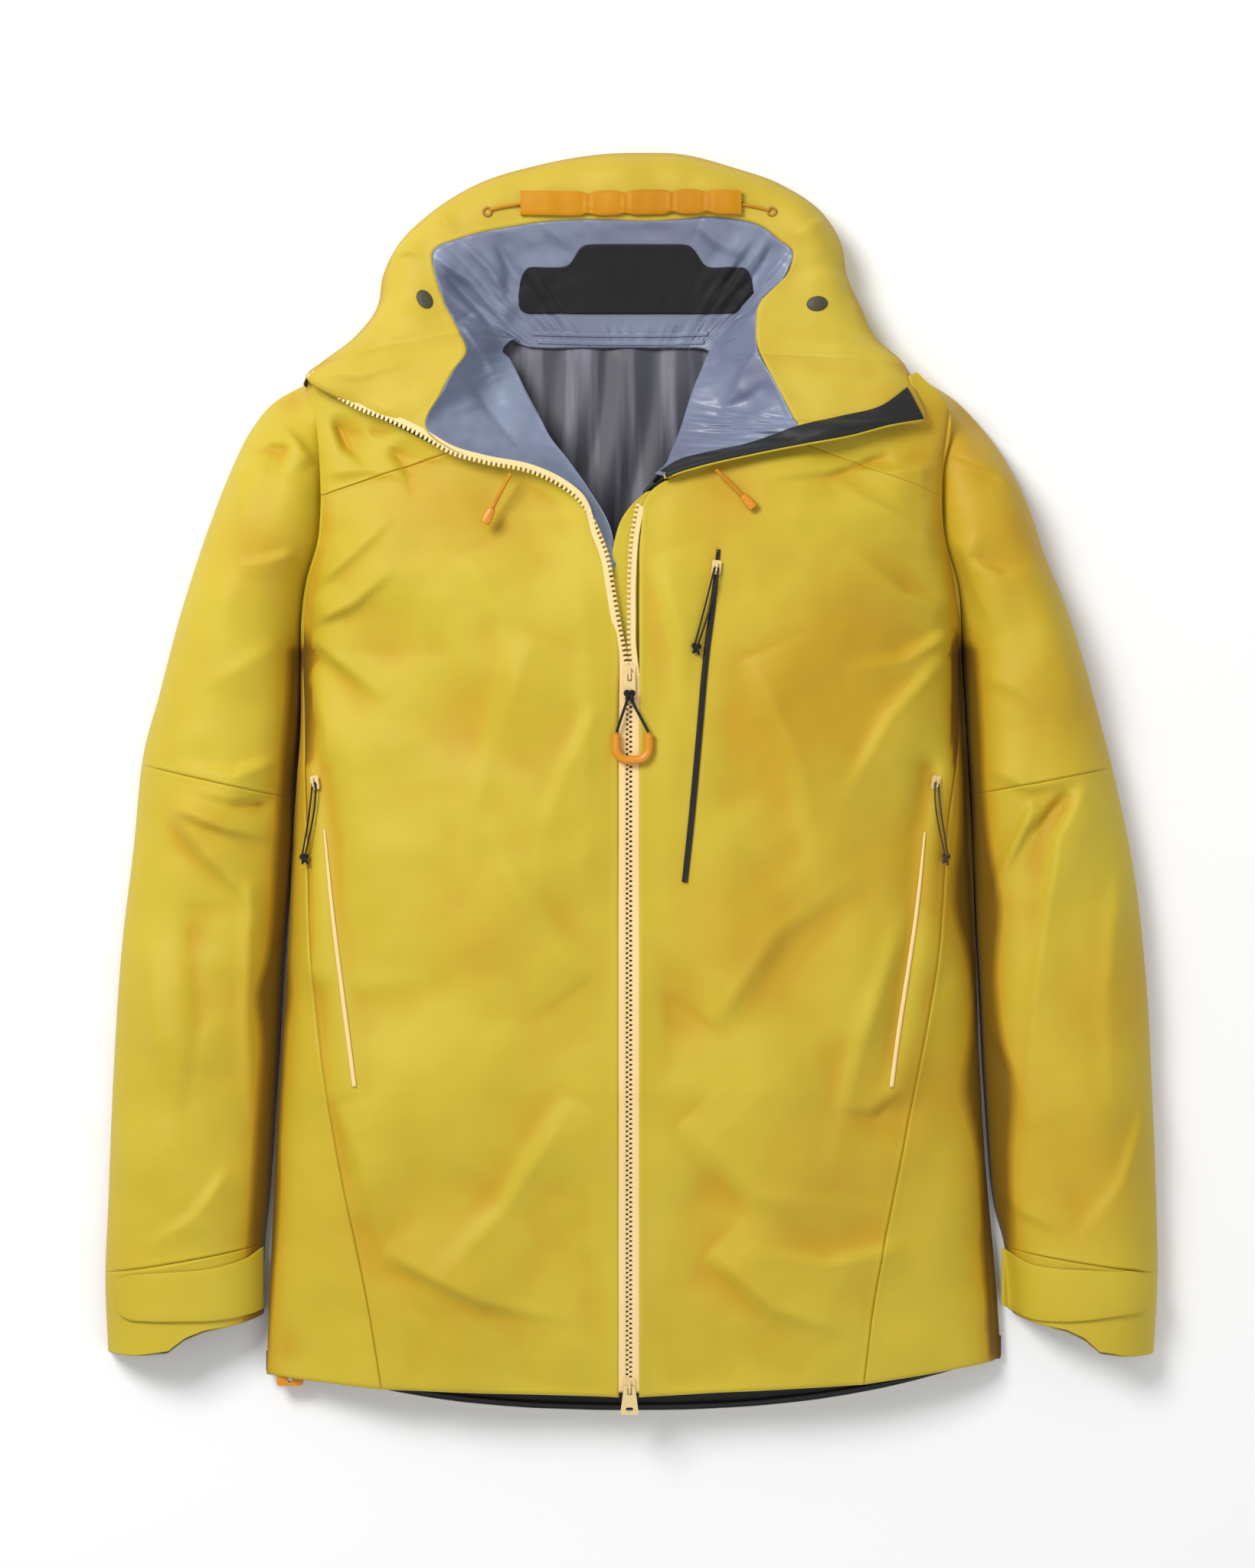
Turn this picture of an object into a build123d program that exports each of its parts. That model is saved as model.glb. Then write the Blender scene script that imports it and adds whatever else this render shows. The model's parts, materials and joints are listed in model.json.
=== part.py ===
"""Hooded hardshell jacket, lying on its back on a flat surface with its main zip part open.

Millimetres.  +Z is up off the surface, +Y runs from the hem to the hood and +X goes to the wearer's
left.  The origin is on the underside of the back panel, on the line of the main zip.
The cloth pieces are thin shells: each is lofted through cross-sections that stand across the jacket.
"right" and "left" are the wearer's sides, so right is -X.
"""

import os
from math import cos, hypot, pi, radians, sin, sqrt, tan

from build123d import *

# ---------------------------------------------------------------- driving dimensions
SKIN = 1.5  # thickness of a cloth shell
GAP = 0.6  # space left between neighbouring cloth pieces
FRONT_HEM, BACK_HEM = -448.0, -478.0  # the back hem drops lower than the front one
ARMPIT = 118.0  # where the sleeve leaves the side of the body
ARM_TOP = 300.0  # top of the armhole seam
NECK_LINE = 349.0  # where the hood leaves the collar
ZIP_OPEN = 89.0  # the main zip is undone above this
ZIP_BEND = -230.0  # the zip runs straight on each side of this
ELBOW = 2.0
CUFF_TOP, CUFF_END, PALM_END = -362.0, -405.0, -434.0
TAPE_EDGE = 8.0  # half width of the main zip with its tapes
TEETH_EDGE = 3.0
KEEL = 0.8  # half width of the slot between the two rows of teeth
DOME_POWER = 2.6
SLEEVE_POWER = 2.4

RIGHT, LEFT = -1, 1
SIDE_NAMES = {RIGHT: "right", LEFT: "left"}

# Heights of the cloth along the zip line: straight where a slider travels.
CENTRE = [(-480, 45), (FRONT_HEM, 50), (ZIP_BEND, 82), (ZIP_OPEN, 94), (200, 94), (260, 84), (305, 70)]
# Half width of the body, from the back hem to the top of the armhole.
BODY = [(-480, 278), (FRONT_HEM, 277), (-250, 269), (-50, 256), (60, 250), (ARMPIT, 249),
        (160, 241), (190, 233), (246, 230), (281, 235), (ARM_TOP, 241), (320, 246)]
# Height of the cloth at the side of the body: low below the armpit, raised where the sleeve joins.
SIDE_RISE = [(-480, 9), (ARMPIT - 20, 9), (ARMPIT + 20, 34), (180, 50), (250, 52), (ARM_TOP, 46), (320, 44)]
# Where the side seam runs.
SIDE_SEAM = [(-480, 186), (-445, 190), (-320, 212), (-178, 228), (-47, 238), (42, 242), (ARMPIT, 244)]
# The sleeve's outer and inner edges and its height, from the cuff up.
SLEEVE_OUT = [(-434, 398), (-357, 400), (-218, 396), (-79, 384), (14, 368), (107, 346), (176, 323),
              (223, 305), (269, 284), (292, 264), (ARM_TOP, 250)]
SLEEVE_IN = [(-434, 282), (-250, 272), (-50, 260), (60, 256), (ARMPIT, 253)]
SLEEVE_HIGH = [(-434, 44), (-357, 50), (-150, 56), (14, 60), (107, 64), (200, 62), (269, 54), (ARM_TOP, 44)]


def along(table, y):
    """Straight-line value at y in a table of (y, value) rows."""
    for (y0, v0), (y1, v1) in zip(table, table[1:]):
        if y <= y1:
            return v0 + (v1 - v0) * max(0.0, y - y0) / (y1 - y0)
    return table[-1][1]


def dome(x, y):
    """Height of the front of the body at x across and y along."""
    share = min(1.0, abs(x) / along(BODY, y))
    low = along(SIDE_RISE, y)
    return low + (along(CENTRE, y) - low) * sqrt(1 - share**DOME_POWER)


def sleeve_inner(y):
    """The sleeve's inner edge: the armhole seam above the armpit, a free edge below it."""
    return along(SLEEVE_IN, y) if y < ARMPIT else along(BODY, y) + GAP


def sleeve_top(share, y, swell=0.0):
    """(x, z) on top of a sleeve, share going from 0 at its inner edge to 1 at its outer edge."""
    inner, outer = sleeve_inner(y), along(SLEEVE_OUT, y)
    arch = (along(SLEEVE_HIGH, y) + swell) * sqrt(max(0.0, 1 - abs(2 * share - 1) ** SLEEVE_POWER))
    rise = along(SIDE_RISE, y) * (1 - share) if y > ARMPIT else 0.0
    return inner + (outer - inner) * share, hypot(arch, rise)


def save(piece, name):
    """Labels a finished piece and writes it as parts/name.step."""
    piece.part.label = name
    export_step(piece.part, f"parts/{name}.step")


def inside_of(points, thickness):
    """The points moved to the inner side of the cloth, square to the line that they make."""
    moved = []
    for i, (x, z) in enumerate(points):
        x0, z0 = points[max(0, i - 1)]
        x1, z1 = points[min(len(points) - 1, i + 1)]
        size = hypot(x1 - x0, z1 - z0)
        moved.append((x + thickness * (z1 - z0) / size, z - thickness * (x1 - x0) / size))
    return moved


def cloth_shell(name, sections, side=LEFT, thickness=SKIN):
    """A thin shell lofted through cross-sections, each a plane and points along its outer face."""
    with BuildPart() as piece:
        for plane, points in sections:
            outer = [(side * x, z) for x, z in points]
            inner = [(side * x, z) for x, z in inside_of(points, thickness)]
            with BuildSketch(plane):
                with BuildLine():
                    Spline(*outer)
                    Line(outer[-1], inner[-1])
                    Spline(*reversed(inner))
                    Line(inner[0], outer[0])
                make_face()
        loft(ruled=True)
    save(piece, name)


def bar(name, sections):
    """A strip lofted through rectangles, each (plane, width, thickness) about the plane's origin."""
    with BuildPart() as piece:
        for plane, width, thick in sections:
            with BuildSketch(plane):
                Rectangle(width, thick)
        loft(ruled=True)
    save(piece, name)


def across(y):
    """The upright plane across the jacket at y, with its own axes along X and Z."""
    return Plane.XZ.offset(-y)


def spread(low, high, count=6):
    return [low + (high - low) * i / (count - 1) for i in range(count)]


def body_shell(name, rows, side, sink=0.0):
    """A piece of the front of the body: rows of (y, inner x, outer x)."""
    sections = []
    for y, inner, outer in rows:
        sections.append((across(y), [(x, dome(x, y) - sink) for x in spread(inner, outer)]))
    cloth_shell(name, sections, side)


# ---------------------------------------------------------------- body of the jacket
def back_panel():
    """The back, flat on the surface, with a dropped hem, armholes, shoulders and a neck line."""
    edge = 7.0  # the side panel turns under by this much
    sides = [(along(BODY, y) - edge, y) for y in (-440, -250, -50, 60, ARMPIT, 190, 246, ARM_TOP)]
    with BuildPart() as piece:
        with BuildSketch(Plane.XY):
            with BuildLine():
                ThreePointArc((-sides[0][0], -440), (0, BACK_HEM), (sides[0][0], -440))
                Spline(*sides)
                Line(sides[-1], (118, NECK_LINE - GAP))
                Line((118, NECK_LINE - GAP), (-118, NECK_LINE - GAP))
                Line((-118, NECK_LINE - GAP), (-sides[-1][0], sides[-1][1]))
                Spline(*[(-x, y) for x, y in reversed(sides)])
            make_face()
        extrude(amount=SKIN)
    save(piece, "back_panel")


def hem_facing():
    """A dark band inside the back hem."""
    deep = 34.0
    half = 255.0
    with BuildPart() as piece:
        with BuildSketch(Plane.XY.offset(SKIN)):
            with BuildLine():
                low = ThreePointArc((-half, -443), (0, BACK_HEM + 2), (half, -443))
                high = ThreePointArc((-half, -443 + deep), (0, BACK_HEM + 2 + deep), (half, -443 + deep))
                Line(low @ 0, high @ 0)
                Line(low @ 1, high @ 1)
            make_face()
        extrude(amount=0.7)
    save(piece, "hem_facing")


def seam(y):
    return along(SIDE_SEAM, y)


def turned_under(y, inner, count):
    """Points from inner x over the front and round the edge of the body down to the surface."""
    wide = along(BODY, y)
    top = [(x, dome(x, y)) for x in spread(inner, wide - 1.5, count)]
    return [*top, (wide, 9), (wide - 1.2, 4), (wide - 3, 0.1)]


def side_panel(side):
    """From the side seam round the edge of the body to the surface, up to the armpit."""
    rows = (-445, -330, -178, -47, 36, 70, ARMPIT - 14)
    sections = [(across(y), turned_under(y, seam(y) + GAP, 4)) for y in rows]
    cloth_shell(f"side_panel_{SIDE_NAMES[side]}", sections, side)


# Where the inner edge of the front panel runs beside the undone zip: (y, half distance across).
OPENING = {
    RIGHT: [(92, 11.6), (105, 13.8), (ARMPIT, 16), (150, 21), (185, 30), (203, 40), (217, 56)],
    LEFT: [(92, 11.6), (105, 12), (ARMPIT, 12.5), (150, 13), (185, 14.5), (203, 17), (217, 28)],
}


def front_panel(side):
    """The front from the hem to the yoke seam."""
    rows = [(y, TAPE_EDGE + GAP, seam(y)) for y in (FRONT_HEM, -330, ZIP_BEND, -100, 36, 70)]
    for y, inner in OPENING[side]:
        rows.append((y, inner, seam(y) - 1 if y < ARMPIT else along(BODY, y) - GAP))
    body_shell(f"front_panel_{SIDE_NAMES[side]}", rows, side)


def yoke(side):
    """The shoulder yoke between the front panel, the armhole and the collar."""
    rows = [(219, 150, 229.4), (234, 118, 229.4), (250, 128, 229.6), (270, 168, 232), (288, 206, 235.6)]
    body_shell(f"yoke_{SIDE_NAMES[side]}", rows, side, sink=1.0)


# ---------------------------------------------------------------- open collar, one flap on each side
# Rows of (y, outer edge, inner edge, height at the outer edge, crest height, height at the inner edge).
COLLAR = {
    RIGHT: [(346, 200, 97, 26, 54, 6), (306, 240, 88, 56, 66, 6), (282, 196, 78, 71, 76, 8),
            (262, 152, 64, 82, 84, 12), (240, 104, 52, 91, 92, 26), (222, 50, 38, 93, 92, 60)],
    LEFT: [(346, 182, 62, 26, 54, 6), (306, 212, 52, 60, 66, 6), (273, 219, 44, 64, 76, 10),
           (256, 140, 36, 84, 88, 16), (242, 84, 30, 92, 92, 28), (230, 36, 25, 93, 92, 60)],
}


def collar(side):
    """A collar flap folded open over the shoulder: its inner face is up."""
    sections = []
    for y, outer, inner, edge, crest, foot in COLLAR[side]:
        wide = outer - inner
        line = [(inner, foot), (inner + 0.3 * wide, foot + 0.45 * (crest - foot)),
                (inner + 0.55 * wide, foot + 0.85 * (crest - foot)), (inner + 0.8 * wide, crest),
                (outer, edge)]
        sections.append((across(y), line))
    cloth_shell(f"collar_{SIDE_NAMES[side]}", sections, side)


# ---------------------------------------------------------------- hood, an open bowl behind the neck
# Distance of the rim from the middle of the neck line, by direction in degrees (0 is the wearer's left).
RIM = [(0, 181), (15, 176), (30, 168), (60, 138.5), (90, 129), (120, 138.5), (150, 170), (165, 187),
       (180, 201)]
BOWL_CREST = 54.0


def hood_wall(name, directions):
    """A stretch of the hood's wall: up from the surface, over the rim and down inside."""
    sections = []
    for turn in directions:
        rim = along(RIM, turn)
        c, s = cos(radians(turn)), sin(radians(turn))
        upright = Plane(origin=(0, NECK_LINE, 0), x_dir=(c, s, 0), z_dir=(s, -c, 0))
        line = [(0.42 * rim, 2.4), (0.62 * rim, 18), (0.78 * rim, 40), (rim - 14, BOWL_CREST - 2),
                (rim - 4, 42), (rim, 24), (rim - 4, 9), (rim - 11, 0.1)]
        sections.append((upright, line))
    cloth_shell(name, sections)


def hood_floor():
    """The back of the hood, flat on the surface inside the wall."""
    outline = []
    for turn, rim in RIM:
        reach = 0.42 * rim - 1
        outline.append((reach * cos(radians(turn)), NECK_LINE + 0.01 + reach * sin(radians(turn))))
    with BuildPart() as piece:
        with BuildSketch(Plane.XY):
            with BuildLine():
                Spline(*outline)
                Line(outline[-1], outline[0])
            make_face()
        extrude(amount=SKIN)
    save(piece, "hood_back_panel")


def label_patch():
    """A plain reinforcing patch inside the hood's base, with a raised middle."""
    with BuildPart() as piece:
        with BuildSketch(Plane.XY.offset(SKIN)):
            with Locations((2, NECK_LINE + 17)):
                RectangleRounded(118, 25, 5)
            with Locations((2, NECK_LINE + 25)):
                RectangleRounded(70, 34, 8)
        extrude(amount=0.7)
    save(piece, "label_patch")


def cord_lock_pads():
    """Two oval pads over the cord locks, one in each cheek of the hood."""
    with BuildPart() as piece:
        for x, y, z, turn in ((-146, 366, 55.6, 70), (136, 364, 55.6, 20)):
            with BuildSketch(Plane((x, y, z), z_dir=(0, 0, 1))):
                Ellipse(8.5, 5.5, rotation=turn)
            extrude(amount=1.6)
    save(piece, "cord_lock_pads")


CHANNEL_HALF, CHANNEL_Y, CHANNEL_Z = 82.0, 437.0, 57.0
EYELET_X, EYELET_Y = 105.0, 431.5
BRIM_CORD = 2.2


def brim_gatherer():
    """The channel on the brim's underside, the elastic that runs through it and its two eyelets."""
    with BuildPart() as channel:
        with BuildSketch(Plane.YZ.offset(-CHANNEL_HALF)):
            with Locations((CHANNEL_Y, CHANNEL_Z)):
                RectangleRounded(18, 5, 2)
                Circle(BRIM_CORD / 2 + 0.3, mode=Mode.SUBTRACT)
        extrude(amount=2 * CHANNEL_HALF)
    save(channel, "brim_channel")
    route = [(-EYELET_X, EYELET_Y, CHANNEL_Z), (-CHANNEL_HALF - 6, CHANNEL_Y, CHANNEL_Z),
             (CHANNEL_HALF + 6, CHANNEL_Y, CHANNEL_Z), (EYELET_X, EYELET_Y, CHANNEL_Z)]
    tube("brim_elastic", route, BRIM_CORD)
    with BuildPart() as eyelets:
        for x in (-EYELET_X - 3.6, EYELET_X + 3.6):
            with BuildSketch(Plane((x, EYELET_Y - 0.7, CHANNEL_Z - 1.5), z_dir=(0, 0, 1))):
                Circle(3.4)
                Circle(1.7, mode=Mode.SUBTRACT)
            extrude(amount=2.2)
    save(eyelets, "brim_eyelets")


# ---------------------------------------------------------------- cords
def bends(route):
    """The largest arc radius for each corner of a route: 0.45 of the shorter run over tan(turn / 2)."""
    radii = []
    for a, b, c in zip(route, route[1:], route[2:]):
        one, two = Vector(*b) - Vector(*a), Vector(*c) - Vector(*b)
        turn = radians(one.get_angle(two))
        radii.append(0.45 * min(one.length, two.length) / tan(turn / 2))
    return radii


def tube(name, route, diameter):
    """A cord's plain tube: straight runs joined by tangent arcs."""
    radii = bends(route)
    with BuildPart() as piece:
        with BuildLine() as path:
            FilletPolyline(*route, radius=radii)
        with BuildSketch(Plane(origin=path.line @ 0, z_dir=path.line % 0)):
            Circle(diameter / 2)
        sweep()
    length = path.wire().length
    expected = pi * diameter**2 / 4 * length
    print(name, "length", round(length, 1), "radii", [round(r, 1) for r in radii],
          "volume share", round(piece.part.volume / expected, 3))
    save(piece, name)


# ---------------------------------------------------------------- sleeves
SHARES = (0.0, 0.03, 0.12, 0.3, 0.5, 0.7, 0.88, 0.97, 1.0)


def sleeve(name, rows, side, inset=5.0):
    """A stretch of sleeve: its arched upper side, and its underside flat on the surface."""
    with BuildPart() as piece:
        for y in rows:
            line = [sleeve_top(s, y) for s in SHARES]
            outer = [(side * x, z) for x, z in line]
            inner = [(side * x, z) for x, z in inside_of(line, SKIN)]
            with BuildSketch(across(y)):
                with BuildLine():
                    Spline(*outer)
                    Line(outer[-1], inner[-1])
                    Spline(*reversed(inner))
                    Line(inner[0], outer[0])
                make_face()
        loft(ruled=True)
        with BuildSketch(Plane.XY):
            with BuildLine():
                edge_in = [(side * (sleeve_inner(y) + inset), y) for y in rows if y < 290]
                edge_out = [(side * (along(SLEEVE_OUT, y) - inset), y) for y in reversed(rows) if y < 290]
                Polyline(*edge_in, *edge_out, close=True)
            make_face()
        extrude(amount=SKIN)
    save(piece, name)


def cuff_size(y, swell):
    """Middle (x, z) and half sizes of the flattened ring of a cuff at y."""
    inner, outer = sleeve_inner(y) + 1, along(SLEEVE_OUT, y)
    half, tall = (outer - inner) / 2 - 3.2 + swell, (along(SLEEVE_HIGH, y) + 1.5) / 2 + swell
    return (inner + outer) / 2, along(SLEEVE_HIGH, y) / 2 + 2.4, half, tall


def cuff_ring(y, side, swell):
    """Points of a closed flattened ring round the sleeve at y."""
    centre, middle, half, tall = cuff_size(y, swell)
    ring = []
    for turn in range(0, 360, 30):
        c, s = cos(radians(turn)), sin(radians(turn))
        grow = (abs(c) ** SLEEVE_POWER + abs(s) ** SLEEVE_POWER) ** (-1 / SLEEVE_POWER)
        ring.append((side * centre + half * c * grow, middle + tall * s * grow))
    return ring


def cuff(side):
    """A stiff band round the sleeve's end, longer over the back of the hand."""
    with BuildPart() as piece:
        for y in (CUFF_TOP, PALM_END):
            with BuildSketch(across(y)):
                with BuildLine():
                    Spline(*cuff_ring(y, side, 3.2), periodic=True)
                make_face()
        loft()
        for y in (CUFF_TOP + 1, PALM_END - 1):
            with BuildSketch(across(y)):
                with BuildLine():
                    Spline(*cuff_ring(y, side, 1.6), periodic=True)
                make_face()
        loft(mode=Mode.SUBTRACT)
        middle = side * (sleeve_inner(CUFF_END) + 50)
        inner_end = side * (sleeve_inner(CUFF_END) - 10)
        with BuildSketch(Plane.XY.offset(-10)):
            with BuildLine():
                Polyline((inner_end, CUFF_END - 2), (middle - side * 12, CUFF_END - 8),
                         (middle + side * 8, PALM_END - 4), (inner_end, PALM_END - 4), close=True)
            make_face()
        extrude(amount=90, mode=Mode.SUBTRACT)
    save(piece, f"cuff_{SIDE_NAMES[side]}")


TAB_TOP, TAB_END = CUFF_TOP - 6, CUFF_END + 1
TAB_SPAN = (-0.4, -0.1, 0.2, 0.5, 0.7, 0.86)  # across the cuff, from the stitched end to the free end


def cuff_tab(side):
    """The hook-and-loop tab that wraps the top of the cuff, hinged where it is stitched down."""
    sections = []
    for y in (TAB_TOP, TAB_END):
        centre, middle, half, tall = cuff_size(y, 5.6)
        line = [(centre + half * u, middle + tall * (1 - abs(u) ** SLEEVE_POWER) ** (1 / SLEEVE_POWER))
                for u in TAB_SPAN]
        sections.append((across(y), line))
    cloth_shell(f"cuff_tab_{SIDE_NAMES[side]}", sections, side, thickness=1.2)


# ---------------------------------------------------------------- main zip
# The undone part of each side, from the slider up along the folded collar: (x, y, height).
OPEN_EDGE = {
    RIGHT: [(-5, 91, 94.4), (-9.5, 120, 94.4), (-15, 160, 94.4), (-25, 192, 94.6), (-46, 217, 96),
            (-90, 236, 95.5), (-140, 252, 90.5), (-190, 277, 79.5), (-236, 302, 63)],
    LEFT: [(5, 91, 94.4), (5.5, 120, 94.4), (6, 150, 94.4), (7, 185, 94), (9, 209, 93)],
}


def main_zip(side):
    """One side of the zip: its tape and its row of teeth, each closed up to the slider and open above it."""
    for name, low, high, drop, thick, width, lift in (
        ("teeth", KEEL, TEETH_EDGE, -0.2, 2.6, 3.0, 1.5),
        ("tape", TEETH_EDGE + 0.05, TAPE_EDGE, 0.7, 0.8, 5.0, 0.0),
    ):
        points = [(x, y, z + lift) for x, y, z in OPEN_EDGE[side]]
        with BuildPart() as piece:
            for y in (FRONT_HEM - 1, ZIP_BEND, ZIP_OPEN - 2):
                with BuildSketch(across(y)):
                    with Locations((side * (low + high) / 2, along(CENTRE, y) - drop - thick / 2)):
                        Rectangle(high - low, thick)
            loft(ruled=True)
            for i, (x, y, z) in enumerate(points):
                ahead = Vector(*points[min(len(points) - 1, i + 1)]) - Vector(*points[max(0, i - 1)])
                aside = Vector(ahead.Y, -ahead.X, 0).normalized() * side
                with BuildSketch(Plane(origin=(x, y, z), x_dir=aside, z_dir=ahead)):
                    with Locations((width / 2, 0)):
                        Rectangle(width, 1.1)
            loft(ruled=True)
        save(piece, f"main_zip_{name}_{SIDE_NAMES[side]}")


def storm_flap():
    """The flap behind the zip, on the wearer's left front edge, down to the hem."""
    sections = []
    for y in (FRONT_HEM + 4, ZIP_BEND, 60, 110, 150, 185, 205):
        reach = -14 if y < 130 else -14 + (y - 130) * 0.2
        centre = ((reach + 20) / 2, y, along(CENTRE, y) - 9)
        sections.append((Plane(origin=centre, x_dir=(1, 0, 0), z_dir=(0, -1, 0)), 20 - reach, 1.2))
    bar("storm_flap", sections)


def chin_guard():
    """A soft dark strip along the edge of the left collar flap."""
    sections = []
    rows = [(275, 216, 190, 79), (268, 190, 150, 86), (262, 160, 122, 90), (256, 130, 95, 94)]
    for y, outer, inner, lift in rows:
        centre = ((outer + inner) / 2, y, lift)
        sections.append((Plane(origin=centre, x_dir=(1, 0, 0), z_dir=(0, -1, 0)), outer - inner, 1.0))
    bar("chin_guard", sections)


# ---------------------------------------------------------------- sliders and pulls
def out_of_cloth(x, y):
    """Direction square to the front of the body at x, y."""
    return Vector(dome(x - 1, y) - dome(x + 1, y), dome(x, y - 1) - dome(x, y + 1), 2).normalized()


def slider_plane(point, toward, out=(0, 0, 1)):
    """A slider's own frame: x across the zip, y along it towards its top end, z out of the cloth."""
    ahead = Vector(*toward).normalized()
    across_zip = ahead.cross(Vector(*out)).normalized()
    return Plane(origin=point, x_dir=across_zip, z_dir=across_zip.cross(ahead))


PLATE, ARCH, WINDOW = 1.3, 3.8, 2.9  # at full size: plate thickness, height of the bridge, room in it


def slider(name, plane, size, room, keel):
    """A plate above the teeth, a bridge on it and, on the main zip, a plate below on a thin keel."""
    half, long, plate = 4.6 * size, 14.0 * size, PLATE * size
    edge_on = Plane(plane.origin - plane.x_dir * (0.7 * size), x_dir=plane.y_dir, z_dir=plane.x_dir)
    with BuildPart() as piece:
        with BuildSketch(plane.offset(room)):
            RectangleRounded(2 * half, long, 2.0 * size)
        extrude(amount=plate)
        with BuildSketch(edge_on):
            with Locations((0, room + plate + ARCH * size / 2 - 0.1)):
                RectangleRounded(9.4 * size, ARCH * size, 1.0 * size)
            with Locations((0, room + plate + WINDOW * size / 2)):
                Rectangle(6.6 * size, WINDOW * size, mode=Mode.SUBTRACT)
        extrude(amount=1.4 * size)
        if keel:
            with BuildSketch(plane.offset(-room - plate)):
                RectangleRounded(2 * half, long, 2.0 * size)
            extrude(amount=plate)
            with BuildSketch(plane.offset(-room)):
                Rectangle(KEEL, 0.6 * long)
            extrude(amount=2 * room)
    save(piece, name)


def pull_height(size, room):
    """Height of a pull's axis over the middle of the teeth: half way up the bridge's window."""
    return room + (PLATE + WINDOW / 2) * size


def puller(name, plane, size, length, wide_end=0.0):
    """A flat tab with an eye at its end; its crossbar passes under the slider's bridge."""
    flat = plane.offset(pull_height(size, MAIN_ROOM) - 0.6 * size)
    end = -length + 0.8 * size
    with BuildPart() as piece:
        with BuildSketch(flat) as outline:
            with BuildLine():
                Polyline((-4.2 * size, 0.8 * size), (4.2 * size, 0.8 * size), (4.4 * size + wide_end, end),
                         (-4.4 * size - wide_end, end), close=True)
            make_face()
            fillet(outline.vertices(), radius=1.2 * size)
            with Locations((0, -2.4 * size)):
                Rectangle(3.4 * size, 6.6 * size, mode=Mode.SUBTRACT)
            with Locations((0, 0)):
                Rectangle(3.6 * size, 1.2 * size)
            with Locations((0, end + 4.2 * size)):
                SlotOverall(5.6 * size, 3.2 * size, mode=Mode.SUBTRACT)
        extrude(amount=1.2 * size)
    save(piece, name)


def on(plane, x, y, z):
    """A point of a slider's own frame, in the jacket's frame."""
    return plane.from_local_coords((x, y, z))


def cord_knot(name, plane, x, y, z, size):
    """A small overhand knot as a rounded lump with two short tails."""
    with BuildPart() as piece:
        with BuildSketch(Plane(on(plane, x, y + size, z), x_dir=plane.x_dir, z_dir=-plane.y_dir)):
            RectangleRounded(2.2 * size, 1.6 * size, 0.7 * size)
        extrude(amount=2 * size)
        for shift in (-0.55, 0.55):
            foot = on(plane, x + shift * size, y - size, z)
            with BuildSketch(Plane(foot, x_dir=plane.x_dir, z_dir=-plane.y_dir)):
                Circle(0.4 * size)
            extrude(amount=1.8 * size)
    save(piece, name)


MAIN_ROOM, POCKET_ROOM = 1.75, 1.1  # from the middle of the teeth to the slider's plate
TEETH_MIDDLE = 1.1  # the middle of the teeth lies this far under the zip line's height


def main_slider_plane(y, y_far):
    """The frame of a slider of the main zip at y, on the straight stretch that ends at y_far."""
    point = (0, y, along(CENTRE, y) - TEETH_MIDDLE)
    toward = (0, abs(y_far - y), (along(CENTRE, y_far) - along(CENTRE, y)) * (1 if y_far > y else -1))
    return slider_plane(point, toward)


def main_pull():
    """The top slider, its tab, the knotted cord through the tab's eye and the moulded grip on the cord."""
    plane = main_slider_plane(ZIP_OPEN - 7, ZIP_BEND)
    slider("main_slider", plane, 1.0, MAIN_ROOM, keel=True)
    puller("main_puller", plane, 1.0, 22.0)
    axis = pull_height(1.0, MAIN_ROOM)
    cord_knot("main_pull_knot", plane, 0, -15, axis + 4.6, 2.5)
    legs = [(-9.6, -43.4), (-6, -32), (-2.4, -22), (-1.6, -18.1), (1.6, -18.1), (2.6, -22), (8, -32),
            (14, -43.4)]
    tube("main_pull_cord", [on(plane, x, y, axis + 2.0) for x, y in legs], 2.2)
    with BuildPart() as grip:
        bottom = plane.offset(axis + 1.5)
        route = [on(bottom, x, y, 0) for x, y in ((-9.8, -45), (-9.8, -64), (14.4, -64), (14.4, -45))]
        with BuildLine() as path:
            FilletPolyline(*route, radius=9)
        with BuildSketch(Plane(origin=path.line @ 0, z_dir=path.line % 0)):
            Circle(3.3)
        sweep()
    save(grip, "main_grip")


def bottom_pull():
    """The second slider, at the foot of the zip, with its tab hanging down."""
    plane = main_slider_plane(FRONT_HEM - 5, ZIP_BEND)
    slider("bottom_slider", plane, 1.0, MAIN_ROOM, keel=True)
    puller("bottom_puller", plane, 1.0, 22.0, wide_end=2.6)


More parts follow.
